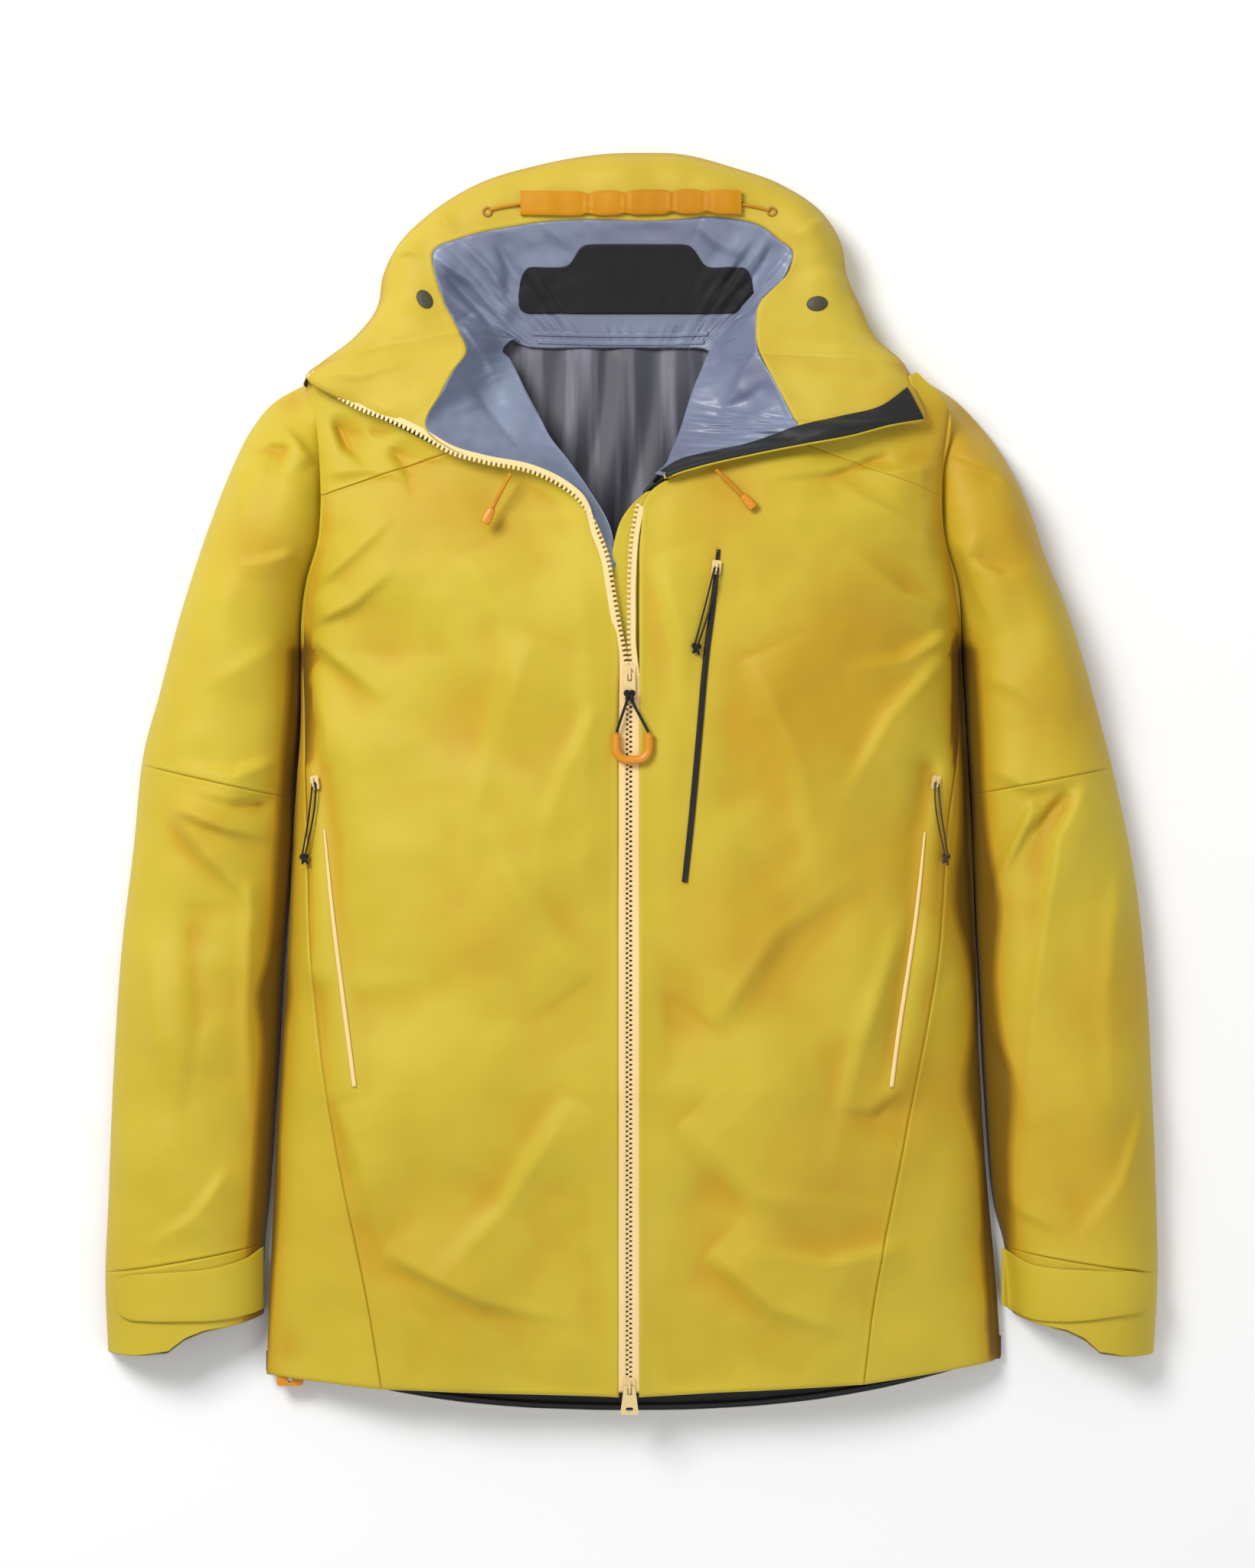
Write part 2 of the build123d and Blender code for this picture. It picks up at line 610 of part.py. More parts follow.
def pocket_pull(prefix, top, bottom, lift, at, length, lean):
    """A pocket zip laid on the cloth from top to bottom, its slider, doubled cord pull and knot."""
    size, cord = 0.75, 1.4
    ends = [Vector(x, y, dome(x, y)) + out_of_cloth(x, y) * lift for x, y in (top, bottom)]
    ahead = ends[0] - ends[1]
    middle = ((top[0] + bottom[0]) / 2, (top[1] + bottom[1]) / 2)
    plane = slider_plane(ends[0] - ahead * at, tuple(ahead), tuple(out_of_cloth(*middle)))
    foot = Plane(ends[1], x_dir=plane.x_dir, z_dir=plane.y_dir)
    with BuildPart() as teeth:
        with BuildSketch(foot):
            RectangleRounded(4.0, 1.4, 0.4)
        extrude(amount=ahead.length)
    save(teeth, f"{prefix}_zip")
    slider(f"{prefix}_slider", plane, size, POCKET_ROOM, keel=False)
    height = pull_height(size, POCKET_ROOM)
    spread_out = [(1.3, 1.0), (1.9, 0.66), (2.2, 0.36), (1.9, 0.14), (1.6, 0.05), (1.4, 0.002)]
    down = [(lean * d**1.4 + w, -d * length, height) for w, d in spread_out]
    back = [(lean * d**1.4 - w, -d * length, height) for w, d in reversed(spread_out)]
    tube(f"{prefix}_pull_cord", [on(plane, *point) for point in down + back], cord)
    cord_knot(f"{prefix}_pull_knot", plane, lean, -length - 2.6, height, 2.2)
    hinge_at = on(plane, 0, 0, height)
    print(prefix, "axis along the zip", tuple(round(v, 4) for v in -plane.y_dir))
    print(prefix, "axis across it", tuple(round(v, 4) for v in plane.x_dir))
    print(prefix, "hinge at", tuple(round(v, 2) for v in hinge_at))


# ---------------------------------------------------------------- inside
def pocket_bag(name, boxes, wall=1.2):
    """Pouches of thin cloth, each (inner x, outer x, low y, high y, low z, side of its mouth)."""
    with BuildPart() as piece:
        for low_x, high_x, low_y, high_y, low_z, mouth in boxes:
            middle = ((low_x + high_x) / 2, (low_y + high_y) / 2)
            with BuildSketch(Plane.XY.offset(low_z)):
                with Locations(middle):
                    Rectangle(high_x - low_x, high_y - low_y)
            extrude(amount=9.0)
            with BuildSketch(Plane.XY.offset(low_z + wall)):
                with Locations((middle[0] + mouth * 2 * wall, middle[1])):
                    Rectangle(high_x - low_x, high_y - low_y - 2 * wall)
            extrude(amount=9.0 - 2 * wall, mode=Mode.SUBTRACT)
    save(piece, name)


def hem_cord():
    """The elastic in the hem with the toggle that locks it, at the wearer's right."""
    route = [(-255, -441, 6), (-245, -447.5, 6), (-120, -470.5, 6), (0, -475, 6), (120, -470.5, 6),
             (245, -447.5, 6), (255, -441, 6)]
    tube("hem_drawcord", route, 2.6)
    with BuildPart() as toggle:
        with BuildSketch(Plane.XY.offset(12)):
            with Locations((-258, -453)):
                RectangleRounded(20, 9, 2.5)
        extrude(amount=7)
        with BuildSketch(Plane.XY.offset(9)):
            with Locations((-258, -453)):
                Circle(1.8)
        extrude(amount=12, mode=Mode.SUBTRACT)
    save(toggle, "hem_toggle")


def hang_loop():
    """A flat tape loop at the back of the neck."""
    with BuildPart() as piece:
        with BuildSketch(Plane.YZ.offset(-22)):
            with Locations((336, 6.5)):
                Rectangle(6, 7)
                Rectangle(4, 5, mode=Mode.SUBTRACT)
        extrude(amount=44)
    save(piece, "hang_loop")


# ---------------------------------------------------------------- build
os.makedirs("parts", exist_ok=True)

back_panel()
hem_facing()
hood_floor()
hood_wall("hood_side_left", (0, 12, 26, 40))
hood_wall("hood_brim", (40.4, 65, 90, 115, 139.6))
hood_wall("hood_side_right", (140, 154, 168, 180))
label_patch()
cord_lock_pads()
brim_gatherer()
UPPER_ROWS = (ARM_TOP - 3, 282, 255, 215, 170, 138, ARMPIT - 2, 60, ELBOW + GAP)
LOWER_ROWS = (ELBOW - GAP, -60, -150, -250, -340, CUFF_TOP + 1.5)
for side, word in SIDE_NAMES.items():
    side_panel(side)
    front_panel(side)
    yoke(side)
    collar(side)
    main_zip(side)
    sleeve(f"upper_sleeve_{word}", UPPER_ROWS, side)
    sleeve(f"forearm_{word}", LOWER_ROWS, side)
    cuff(side)
    cuff_tab(side)
storm_flap()
chin_guard()
main_pull()
bottom_pull()
pocket_pull("chest", (65, 168), (41, -73), 2.8, 0.03, 58.0, -9.0)
pocket_pull("hand_right", (-234, 8), (-206, -227), 4.6, 0.03, 52.0, -16.0)
pocket_pull("hand_left", (228, 8), (196, -227), 4.6, 0.03, 52.0, 16.0)
pocket_bag("chest_pocket_bag", [(70, 150, -70, 140, 60, -1)])
pocket_bag("hand_pocket_bags", [(90, 190, -245, -20, 38, 1), (-190, -90, -245, -20, 38, -1)])
hem_cord()
hang_loop()
tube("collar_cord_right", [(-88, 230, 98), (-95, 218, 97.5), (-106, 196, 96.2)], 3.0)
tube("collar_cord_left", [(64, 233, 98.2), (76, 222, 97.6), (90, 207, 96.8)], 3.0)
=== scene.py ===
import json
import math

import bmesh
import bpy
import numpy as np
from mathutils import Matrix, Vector, noise
from mathutils.bvhtree import BVHTree


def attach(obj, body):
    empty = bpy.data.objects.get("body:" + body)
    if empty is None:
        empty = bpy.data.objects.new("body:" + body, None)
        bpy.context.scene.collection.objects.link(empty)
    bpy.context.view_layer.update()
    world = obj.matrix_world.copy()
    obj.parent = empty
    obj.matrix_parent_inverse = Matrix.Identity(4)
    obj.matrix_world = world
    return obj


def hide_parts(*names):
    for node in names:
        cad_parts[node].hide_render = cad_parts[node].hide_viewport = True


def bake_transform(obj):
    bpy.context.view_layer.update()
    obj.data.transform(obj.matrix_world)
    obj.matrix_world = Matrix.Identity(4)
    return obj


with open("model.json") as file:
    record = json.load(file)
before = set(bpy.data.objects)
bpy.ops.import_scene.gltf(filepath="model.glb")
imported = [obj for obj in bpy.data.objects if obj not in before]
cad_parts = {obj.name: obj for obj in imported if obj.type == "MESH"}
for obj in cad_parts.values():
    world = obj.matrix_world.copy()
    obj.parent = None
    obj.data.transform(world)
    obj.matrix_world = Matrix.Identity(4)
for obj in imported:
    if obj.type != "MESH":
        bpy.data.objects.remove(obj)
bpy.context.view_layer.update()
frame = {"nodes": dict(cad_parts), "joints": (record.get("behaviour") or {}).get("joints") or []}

MM = 0.001
RIGHT, LEFT = -1, 1
SIDES = {RIGHT: "right", LEFT: "left"}
CLOTH = 0.7  # thickness of the face cloth with its lining, mm
GROUND = 0.8  # height of cloth that lies on the surface, mm
ROW_STEP = 3.0  # distance between the rows of points of a panel, mm
SHADE_CAP = 0.62  # the most painted shade that folds and golden patches give the cloth; only the painted shade of crevices goes beyond it


# ------------------------------------------------------------------ curves and grids
def knots_of(keys, extra=6.0):
    """Distances along the middle of some rows of matched points; extra is added between rows."""
    middle = np.array([np.mean(row, axis=0) for row in keys], float)
    steps = np.linalg.norm(np.diff(middle, axis=0), axis=1)
    return np.concatenate([[0], np.cumsum(steps + extra)])


def smooth_rows(keys, where, knots=None):
    """Points at some distances along a smooth curve through rows of numbers; where may be a count."""
    keys = np.array(keys, float)
    if knots is None:
        steps = np.linalg.norm(np.diff(keys, axis=0), axis=1)
        knots = np.concatenate([[0], np.cumsum(np.maximum(steps, 1e-6))])
    if isinstance(where, int):
        where = np.linspace(knots[0], knots[-1], where)
    slopes = np.gradient(keys, knots, axis=0)
    i = np.clip(np.searchsorted(knots, where, "right") - 1, 0, len(knots) - 2)
    h = (knots[i + 1] - knots[i])[:, None]
    t = ((where - knots[i]) / (knots[i + 1] - knots[i]))[:, None]
    a, b, c, d = 2 * t**3 - 3 * t**2 + 1, t**3 - 2 * t**2 + t, -2 * t**3 + 3 * t**2, t**3 - t**2
    return a * keys[i] + b * h * slopes[i] + c * keys[i + 1] + d * h * slopes[i + 1]


def stations(total, spacing, seams):
    """Distances from 0 to total, evenly spaced but closer together at seams."""
    even = [v for v in np.linspace(0, total, int(total / spacing) + 1) if all(abs(v - s) > 3.4 for s in seams)]
    close = [s + d for s in seams for d in (-2.6, -1.4, -0.6, 0, 0.6, 1.4, 2.6)]
    return np.array(sorted(even + [v for v in close if 0 <= v <= total]))


def between(start, end, share):
    """A share of the way from start to end."""
    return start * (1 - share) + end * share


def soften(heights, weights):
    """Heights averaged with their neighbours down the rows."""
    kernel = np.array(weights) / sum(weights)
    reach = len(weights) // 2
    return np.apply_along_axis(lambda v: np.convolve(np.pad(v, reach, "edge"), kernel, "valid"), 0, heights)


def groove(distance, depth=1.0):
    """Height of a sewn seam in the cloth at a distance from it: a narrow groove between soft ridges."""
    away = np.abs(distance)
    return depth * (0.45 * np.exp(-(((away - 1.9) / 1.0) ** 2)) - np.exp(-((away / 0.7) ** 2)))


def table(rows):
    """A function that reads a table of (y, value) rows by straight lines."""
    ys, values = zip(*rows)
    return lambda y: np.interp(y, ys, values)


def mesh_object(name, vertices, faces, material, smooth=True):
    mesh = bpy.data.meshes.new(name)
    mesh.from_pydata([tuple(v) for v in vertices], [], faces)
    mesh.materials.append(material)
    if smooth:
        mesh.shade_smooth()
    mesh.update()
    piece = bpy.data.objects.new(name, mesh)
    bpy.context.scene.collection.objects.link(piece)
    return piece


def grid_faces(rows, columns, closed=False):
    """Quads of a grid of rows by columns, numbered row by row."""
    faces = []
    last = columns if closed else columns - 1
    for r in range(rows - 1):
        for c in range(last):
            n = (c + 1) % columns
            faces.append((r * columns + c, r * columns + n, (r + 1) * columns + n, (r + 1) * columns + c))
    return faces


def grid_object(name, points, material, flip=False, closed=False):
    """An object from an array of points, rows by columns by 3, in millimetres."""
    rows, columns = points.shape[:2]
    faces = grid_faces(rows, columns, closed)
    if flip:
        faces = [tuple(reversed(f)) for f in faces]
    return mesh_object(name, points.reshape(-1, 3) * MM, faces, material)


def thicken(piece, thickness=CLOTH, inner=None):
    """Gives a sheet its thickness; inner is the material of its back face."""
    solid = piece.modifiers.new("thickness", "SOLIDIFY")
    solid.thickness = thickness * MM
    solid.offset = -1.0
    solid.use_even_offset = False
    if inner is not None:
        piece.data.materials.append(inner)
        solid.material_offset = 1
    return piece


def cut_out(name, points, rows, columns, material, inner, flip=False):
    """A panel: the part of a grid of points between two rows and two columns."""
    piece = grid_object(name, points[rows[0]:rows[1] + 1, columns[0]:columns[1] + 1], material, flip)
    return thicken(piece, inner=inner)


# ------------------------------------------------------------------ the sliders' own frames, from their joints
JOINTS = {joint["name"]: joint for joint in frame["joints"]}
PLATE, WINDOW = 1.3, 2.9  # a full-size slider's plate, and the room under its bridge, mm
MAIN_SIZE, MAIN_ROOM, POCKET_SIZE, POCKET_ROOM = 1.0, 1.75, 0.75, 1.1


class SliderFrame:
    """A slider's own frame: x across its zip, y along it to its top end, z out of the cloth; millimetres."""

    def __init__(self, slide, swing, size, room):
        self.y = -Vector(JOINTS[slide]["axis"])
        self.x = -Vector(JOINTS[swing]["axis"])
        self.z = self.x.cross(self.y)
        self.axis = room + (PLATE + WINDOW / 2) * size
        self.origin = Vector(JOINTS[swing]["pos_m"]) / MM - self.z * self.axis

    def at(self, x, y, z):
        return self.origin + self.x * x + self.y * y + self.z * z

    def height(self, y):
        """Height of the line of the teeth at y."""
        return self.origin.z + (y - self.origin.y) * self.y.z / self.y.y


MAIN = SliderFrame("main_zip_slide", "main_puller_swing", MAIN_SIZE, MAIN_ROOM)
POCKETS = {name: SliderFrame(f"{name}_zip_slide", f"{name}_pull_swing", POCKET_SIZE, POCKET_ROOM)
           for name in ("chest", "hand_right", "hand_left")}
POCKET_LINES = {  # side of the jacket, and the zip's line from its top to its bottom
    "chest": (1, [(66, 174), (62.6, 140), (57, 96), (51.5, 34), (45.5, -31), (41, -73)]),
    "hand_right": (-1, [(-234, 8), (-229.6, -34), (-223.6, -93), (-217.2, -144), (-210.5, -194), (-206, -227)]),
    "hand_left": (1, [(228, 8), (222, -36), (215.6, -94), (208.6, -141), (201.5, -186), (196, -227)]),
}


# ------------------------------------------------------------------ heights of the lying jacket
ARMPIT = 118
centre_height = table([(-480, 45), (-448, 50), (-230, 82), (89, 94), (200, 94), (260, 84), (305, 70)])
side_rise = table([(-480, 8), (98, 8), (138, 33), (180, 49), (250, 51), (300, 45), (330, 42)])
half_width = table([(-480, 279), (-440, 279), (-250, 269), (-50, 257), (60, 252), (118, 251), (160, 243),
                    (190, 236), (246, 235), (281, 240), (300, 245), (330, 250)])
sleeve_height = table([(-440, 42), (-357, 48), (-150, 54), (14, 58), (107, 62), (200, 60), (269, 52), (305, 44)])


def dome(x, y):
    """Height of the front of the body, in millimetres."""
    share = np.minimum(1.0, np.abs(x) / half_width(y))
    low = side_rise(y)
    return low + (centre_height(y) - low) * np.sqrt(np.maximum(0.0, 1 - share**2.6))


def crease(points, x, y, height, width, fade=True):
    """Height of a fold along a line of points: steep on one side, soft on the other, fading from its start."""
    lift = np.zeros_like(x)
    total = len(points) - 1
    for i, ((x0, y0), (x1, y1)) in enumerate(zip(points, points[1:])):
        dx, dy = x1 - x0, y1 - y0
        t = np.clip(((x - x0) * dx + (y - y0) * dy) / (dx * dx + dy * dy), 0, 1)
        away = np.hypot(x - x0 - t * dx, y - y0 - t * dy) / width
        if fade:
            steep = np.tanh(((x - x0) * dy - (y - y0) * dx) / np.hypot(dx, dy) / width * 2)
            away = away * (1.2 + 0.7 * steep)
            along = (i + t) / total
            ends = np.clip(along / 0.18, 0, 1) ** 0.6 * np.clip((1 - along) / 0.6, 0, 1) ** 0.8
        else:
            ends = 1.0
        lift = np.maximum(lift, ends * np.exp(-1.4 * away**1.6))
    return height * lift


def folded(folds, x, y):
    """Height of a table of folds: each is a line of points, a height and a width."""
    return sum(crease(line, x, y, height, width) for line, height, width in folds)


def shade_folds(piece, scale=3.6):
    """Stores painted shade at each point of the cloth, from 0 to 1: more down in its folds and in golden patches.

    scale is the depth below the cloth around it, in millimetres, at which a fold's painted shade is at its fullest.
    """
    mesh = piece.data
    count = len(mesh.vertices)
    where = np.empty(count * 3)
    mesh.vertices.foreach_get("co", where)
    where = where.reshape(-1, 3) / MM
    ends = np.empty(len(mesh.edges) * 2, int)
    mesh.edges.foreach_get("vertices", ends)
    ends = ends.reshape(-1, 2)
    near = np.maximum(1, np.bincount(ends.ravel(), minlength=count))
    level = where[:, 2].copy()
    for _ in range(60):
        total = np.bincount(ends[:, 0], level[ends[:, 1]], count) + np.bincount(ends[:, 1], level[ends[:, 0]], count)
        level = 0.4 * level + 0.6 * total / near
    deep = np.clip((level - where[:, 2]) / scale, 0, 1)
    # painted golden shade in broad patches
    for x, y, radius, strength in GOLDEN_SHADE:
        away = ((where[:, 0] - x) ** 2 + (where[:, 1] - y) ** 2) / radius**2
        deep = deep + 0.6 * strength * np.exp(-1.2 * away)
    deep = np.minimum(deep, SHADE_CAP)
    # painted shade in the crease where a sleeve meets the body, darker the lower the cloth lies there
    from_join = np.abs(np.abs(where[:, 0]) - half_width(where[:, 1]) - 6)
    join_shade = np.exp(-((from_join / 17) ** 2)) * np.clip((120 - where[:, 1]) / 20, 0, 1)
    deep = deep + join_shade * np.clip((62 - where[:, 2]) / 30, 0, 1)
    layer = mesh.attributes.new("shade", "FLOAT", "POINT")
    layer.data.foreach_set("value", np.clip(deep, 0, 1))


def crumple(points, size, height, seed, detail=2):
    """Soft uneven swellings of the cloth, as an array of heights for an array of points."""
    flat = points.reshape(-1, 3)
    shift = Vector((seed * 7.3, seed * 3.1, seed * 1.7))
    lift = [noise.fractal(Vector((p[0] / size, p[1] / size, 0)) + shift, 0.9, 2.1, detail) for p in flat]
    return height * np.array(lift).reshape(points.shape[:-1])


# ------------------------------------------------------------------ materials
def colour(r, g, b):
    """A linear colour from 0-255 sRGB numbers."""
    out = []
    for v in (r, g, b):
        v = v / 255
        out.append(v / 12.92 if v <= 0.04045 else ((v + 0.055) / 1.055) ** 2.4)
    return (*out, 1.0)


def fill(tree, part, inputs):
    """Sets a node's inputs, each to a value or to another node's output."""
    for key, value in inputs.items():
        if isinstance(value, bpy.types.NodeSocket):
            tree.links.new(value, part.inputs[key])
        else:
            part.inputs[key].default_value = value


def node(tree, kind, output, inputs, **settings):
    """One output of a new shader node with these settings and inputs."""
    part = tree.nodes.new(f"ShaderNode{kind}")
    for key, value in settings.items():
        setattr(part, key, value)
    fill(tree, part, inputs)
    return part.outputs[output]


def mixed(tree, share, under, over):
    """A colour that goes from under to over as share goes from 0 to 1."""
    return node(tree, "Mix", "Result", {"Factor": share, "A": under, "B": over}, data_type="RGBA")


def material(name, rough=0.6, sheen=0.0, coat=0.0, specular=0.5):
    mat = bpy.data.materials.new(name)
    mat.use_nodes = True
    shader = mat.node_tree.nodes["Principled BSDF"]
    fill(mat.node_tree, shader, {"Roughness": rough, "Sheen Weight": sheen, "Sheen Roughness": 0.4,
                                 "Coat Weight": coat, "Specular IOR Level": specular})
    return mat, mat.node_tree, shader


def finish_shader(tree, shader, tint, height, strength, distance):
    """Joins a colour and a relief, with its depth in millimetres, to the shader."""
    relief = {"Strength": strength, "Distance": distance * MM, "Height": height}
    fill(tree, shader, {"Base Color": tint, "Normal": node(tree, "Bump", "Normal", relief)})


def woven(name, base, shade, rough=0.62, pitch=0.55, sheen=0.15, bump=0.25, specular=0.35, mottle=0.35, coat=0.0,
          painted_shade=None, highlight_streak=None):
    """Woven cloth: a fine grid of threads, with slow changes of colour and of shine.

    The colour down in the folds is painted shade, darker still in crevices; the colour of the long streaks down the
    cloth is painted highlight.
    """
    mat, tree, shader = material(name, rough, sheen, coat, specular)
    where = node(tree, "TexCoord", "Object", {})
    threads = {"Scale": 0.314 / (pitch * MM), "Distortion": 0.6, "Detail Scale": 2.0, "Vector": where}
    across, along = (node(tree, "TexWave", "Fac", threads, bands_direction=axis) for axis in "XY")
    weave = node(tree, "Mix", "Result", {"Factor": 0.5, "A": across, "B": along}, data_type="FLOAT")
    slow = node(tree, "TexNoise", "Fac", {"Scale": 9.0, "Detail": 5.0, "Vector": where})
    tint = node(tree, "ValToRGB", "Color", {"Fac": slow})
    for stop, place, stain in zip(tint.node.color_ramp.elements, (0.5 - mottle / 2, 0.5 + mottle / 2), (shade, base)):
        stop.position, stop.color = place, colour(*stain)
    # painted shade: the colour goes golden down in folds and darker still in crevices, by the shade attribute
    if painted_shade:
        depth = node(tree, "Attribute", "Fac", {}, attribute_name="shade")
        tint = mixed(tree, depth, tint, colour(*painted_shade))
        crevice_shade = node(tree, "MapRange", "Result", {"From Min": SHADE_CAP, "Value": depth})
        tint = mixed(tree, crevice_shade, tint, colour(*[v * 0.62 for v in painted_shade]))
    # painted highlights: long pale streaks down the cloth from stretched noise
    if highlight_streak:
        stretch = node(tree, "Mapping", "Vector", {"Scale": (70, 5, 5), "Vector": where})
        painted_highlights = node(tree, "TexNoise", "Fac", {"Scale": 1.0, "Detail": 3.0, "Vector": stretch})
        share = node(tree, "MapRange", "Result", {"From Min": 0.48, "From Max": 0.72, "Value": painted_highlights})
        tint = mixed(tree, share, tint, colour(*highlight_streak))
    shine = node(tree, "MapRange", "Result", {"To Min": rough - 0.07, "To Max": rough + 0.07, "Value": slow})
    fill(tree, shader, {"Roughness": shine})
    finish_shader(tree, shader, tint, weave, bump, 0.12)
    return mat


def moulded(name, base, rough=0.4, coat=0.0):
    """Moulded plastic or coated metal with a fine grain."""
    mat, tree, shader = material(name, rough, coat=coat)
    fine = node(tree, "TexNoise", "Fac", {"Scale": 900.0, "Vector": node(tree, "TexCoord", "Object", {})})
    tint = mixed(tree, fine, colour(*base), colour(*[max(0, v - 18) for v in base]))
    finish_shader(tree, shader, tint, fine, 0.15, 0.1)
    return mat


# the face cloths carry painted golden shade in their folds and crevices
FACE = woven("face_cloth", (200, 178, 46), (193, 168, 34), sheen=0.03, specular=0.4, painted_shade=(190, 140, 2))
FACE_BAND = woven("face_cloth_band", (200, 176, 54), (192, 164, 40), sheen=0.03, specular=0.4, painted_shade=(176, 128, 4))
LINING = woven("lining_cloth", (138, 150, 172), (104, 104, 130), rough=0.42, pitch=0.9, sheen=0.0, bump=0.35,
               specular=0.55, mottle=0.6, coat=0.1)
# the back lining carries painted highlight streaks
DARK = woven("back_lining", (78, 78, 88), (58, 58, 66), rough=0.5, pitch=0.9, sheen=0.0, specular=0.45,
             highlight_streak=(128, 126, 138))
BLACK = woven("black_trim", (34, 35, 34), (26, 27, 26), rough=0.55, pitch=0.6, sheen=0.1)
TAPE = woven("zip_tape", (242, 212, 154), (236, 202, 140), rough=0.75, pitch=0.7, sheen=0.1)
TEETH = moulded("zip_teeth", (244, 220, 164), rough=0.35)
CREAM = moulded("cream_plastic", (236, 210, 150), rough=0.38)
ORANGE = moulded("orange_plastic", (222, 146, 22), rough=0.4, coat=0.2)
ORANGE_CLOTH = woven("orange_cloth", (206, 142, 4), (186, 122, 2), rough=0.55, pitch=0.5, sheen=0.0, specular=0.25)
BLACK_ZIP = moulded("black_zip", (18, 18, 20), rough=0.22, coat=0.4)
BLACK_CORD = woven("black_cord", (24, 24, 26), (14, 14, 16), rough=0.6, pitch=0.35, bump=0.6)
BROWN_CORD = woven("brown_cord", (84, 62, 38), (40, 32, 24), rough=0.6, pitch=0.35, bump=0.6)
ORANGE_CORD = woven("orange_cord", (208, 142, 8), (186, 120, 4), rough=0.6, pitch=0.35, bump=0.6, sheen=0.0)
PATCH = woven("neck_patch_cloth", (40, 40, 41), (32, 32, 33), rough=0.75, pitch=0.5, sheen=0.0, specular=0.25)
LOCK = moulded("cord_lock_rubber", (74, 70, 52), rough=0.55)
EYELET = moulded("eyelet_enamel", (176, 122, 26), rough=0.35)


# ------------------------------------------------------------------ front of the body
# Matched points down each side, from the hem up: inner edge, side seam, outer edge.
BODY_ROWS = {
    RIGHT: [((-8, -461), (-187, -456), (-276, -448)), ((-8, -400), (-196, -400), (-274, -395)),
            ((-8, -250), (-226, -247), (-267, -245)), ((-8, -135), (-240, -136), (-260, -135)),
            ((-8, -20), (-244, -30), (-255, -30)), ((-8, 60), (-246, 50), (-249.5, 45)),
            ((-7.5, 105), (-246.8, 100), (-249.5, 100)), ((-13.5, 150), (-241.5, 150), (-244.5, 150)),
            ((-20, 180), (-232, 182), (-234.5, 180)), ((-38, 212), (-229.8, 202), (-232.3, 200)),
            ((-74, 233), (-229, 209), (-231.9, 208)), ((-132, 248), (-228.6, 217), (-231.8, 217)),
            ((-181, 272), (-230, 245), (-233, 243)), ((-221, 292), (-233, 275), (-236, 274)),
            ((-241, 306), (-241.8, 303), (-242.8, 303))],
    LEFT: [((7, -461), (177, -452), (283, -437)), ((7, -400), (183, -400), (280, -390)),
           ((7, -250), (211, -247), (268, -245)), ((7, -135), (232, -133), (264, -130)),
           ((7, -20), (241, -25), (260.5, -25)), ((7, 60), (250, 45), (256, 45)),
           ((7, 105), (250, 105), (253, 100)), ((7, 150), (245, 150), (248, 150)),
           ((8, 185), (236, 182), (238.5, 180)), ((15, 217), (233, 202), (235.5, 200)),
           ((62, 241), (232.5, 209), (235, 208)), ((125, 256), (232, 217), (235, 217)),
           ((162, 263), (233.5, 242), (236.5, 240)), ((199, 271), (238, 262), (241, 262)),
           ((219, 274), (238, 277), (241.5, 278)),
           ((213, 290), (229, 292), (233, 292)), ((209, 306), (213, 308), (216, 309))],
}
YOKE_KEY = 11  # the yoke seam runs along this row of matched points
FOLDS = {
    RIGHT: [
        ([(-238, 122), (-208, 134), (-176, 160)], 8.8, 9), ([(-242, 112), (-212, 88), (-180, 62)], 10, 10),
        ([(-244, 98), (-228, 40), (-226, -40)], 7.5, 9), ([(-234, 150), (-206, 172), (-176, 200)], 6.2, 9),
        ([(-222, 276), (-212, 254), (-196, 240)], -8.8, 9), ([(-196, 264), (-180, 262), (-160, 268)], -6.2, 8),
        ([(-178, 252), (-166, 236), (-160, 212)], -6.2, 10), ([(-234, 232), (-196, 236), (-150, 226)], 5, 10),
        ([(-70, 110), (-104, 20), (-128, -90)], 7.5, 30), ([(-36, -150), (-85, -80), (-130, 20)], 7.5, 26),
        ([(-20, 60), (-46, 10), (-70, -60)], 5, 18), ([(-40, -236), (-92, -320), (-160, -392)], 8.8, 24),
        ([(-186, -350), (-112, -386), (-40, -404)], 7.5, 13), ([(-215, -240), (-196, -300), (-176, -370)], 6.2, 18),
        ([(-120, 170), (-92, 120), (-80, 60)], 5, 20), ([(-245, -140), (-196, -150), (-140, -140)], 5, 22),
    ],
    LEFT: [
        ([(243, 128), (206, 140), (160, 176)], 8.8, 10), ([(246, 114), (206, 92), (160, 84)], 10, 11),
        ([(240, 96), (196, 50), (160, -16)], 8.8, 14), ([(236, 186), (200, 198), (150, 226)], 6.2, 10),
        ([(93, 96), (128, 10), (150, -90)], 8.8, 26), ([(60, -180), (108, -110), (178, -60)], 8.8, 24),
        ([(40, -250), (96, -306), (176, -320)], 7.5, 26), ([(214, -90), (176, -190), (150, -300)], 8.8, 22),
        ([(60, -350), (110, -392), (176, -416)], 7.5, 16), ([(232, 236), (190, 232), (120, 240)], 6.2, 11),
        ([(208, -350), (150, -362), (80, -350)], 6.2, 15), ([(206, -232), (184, -250), (150, -246)], -6.2, 9),
        ([(196, 246), (150, 228), (100, 222)], -6.2, 9), ([(20, 170), (40, 110), (44, 40)], 5, 18),
    ],
}
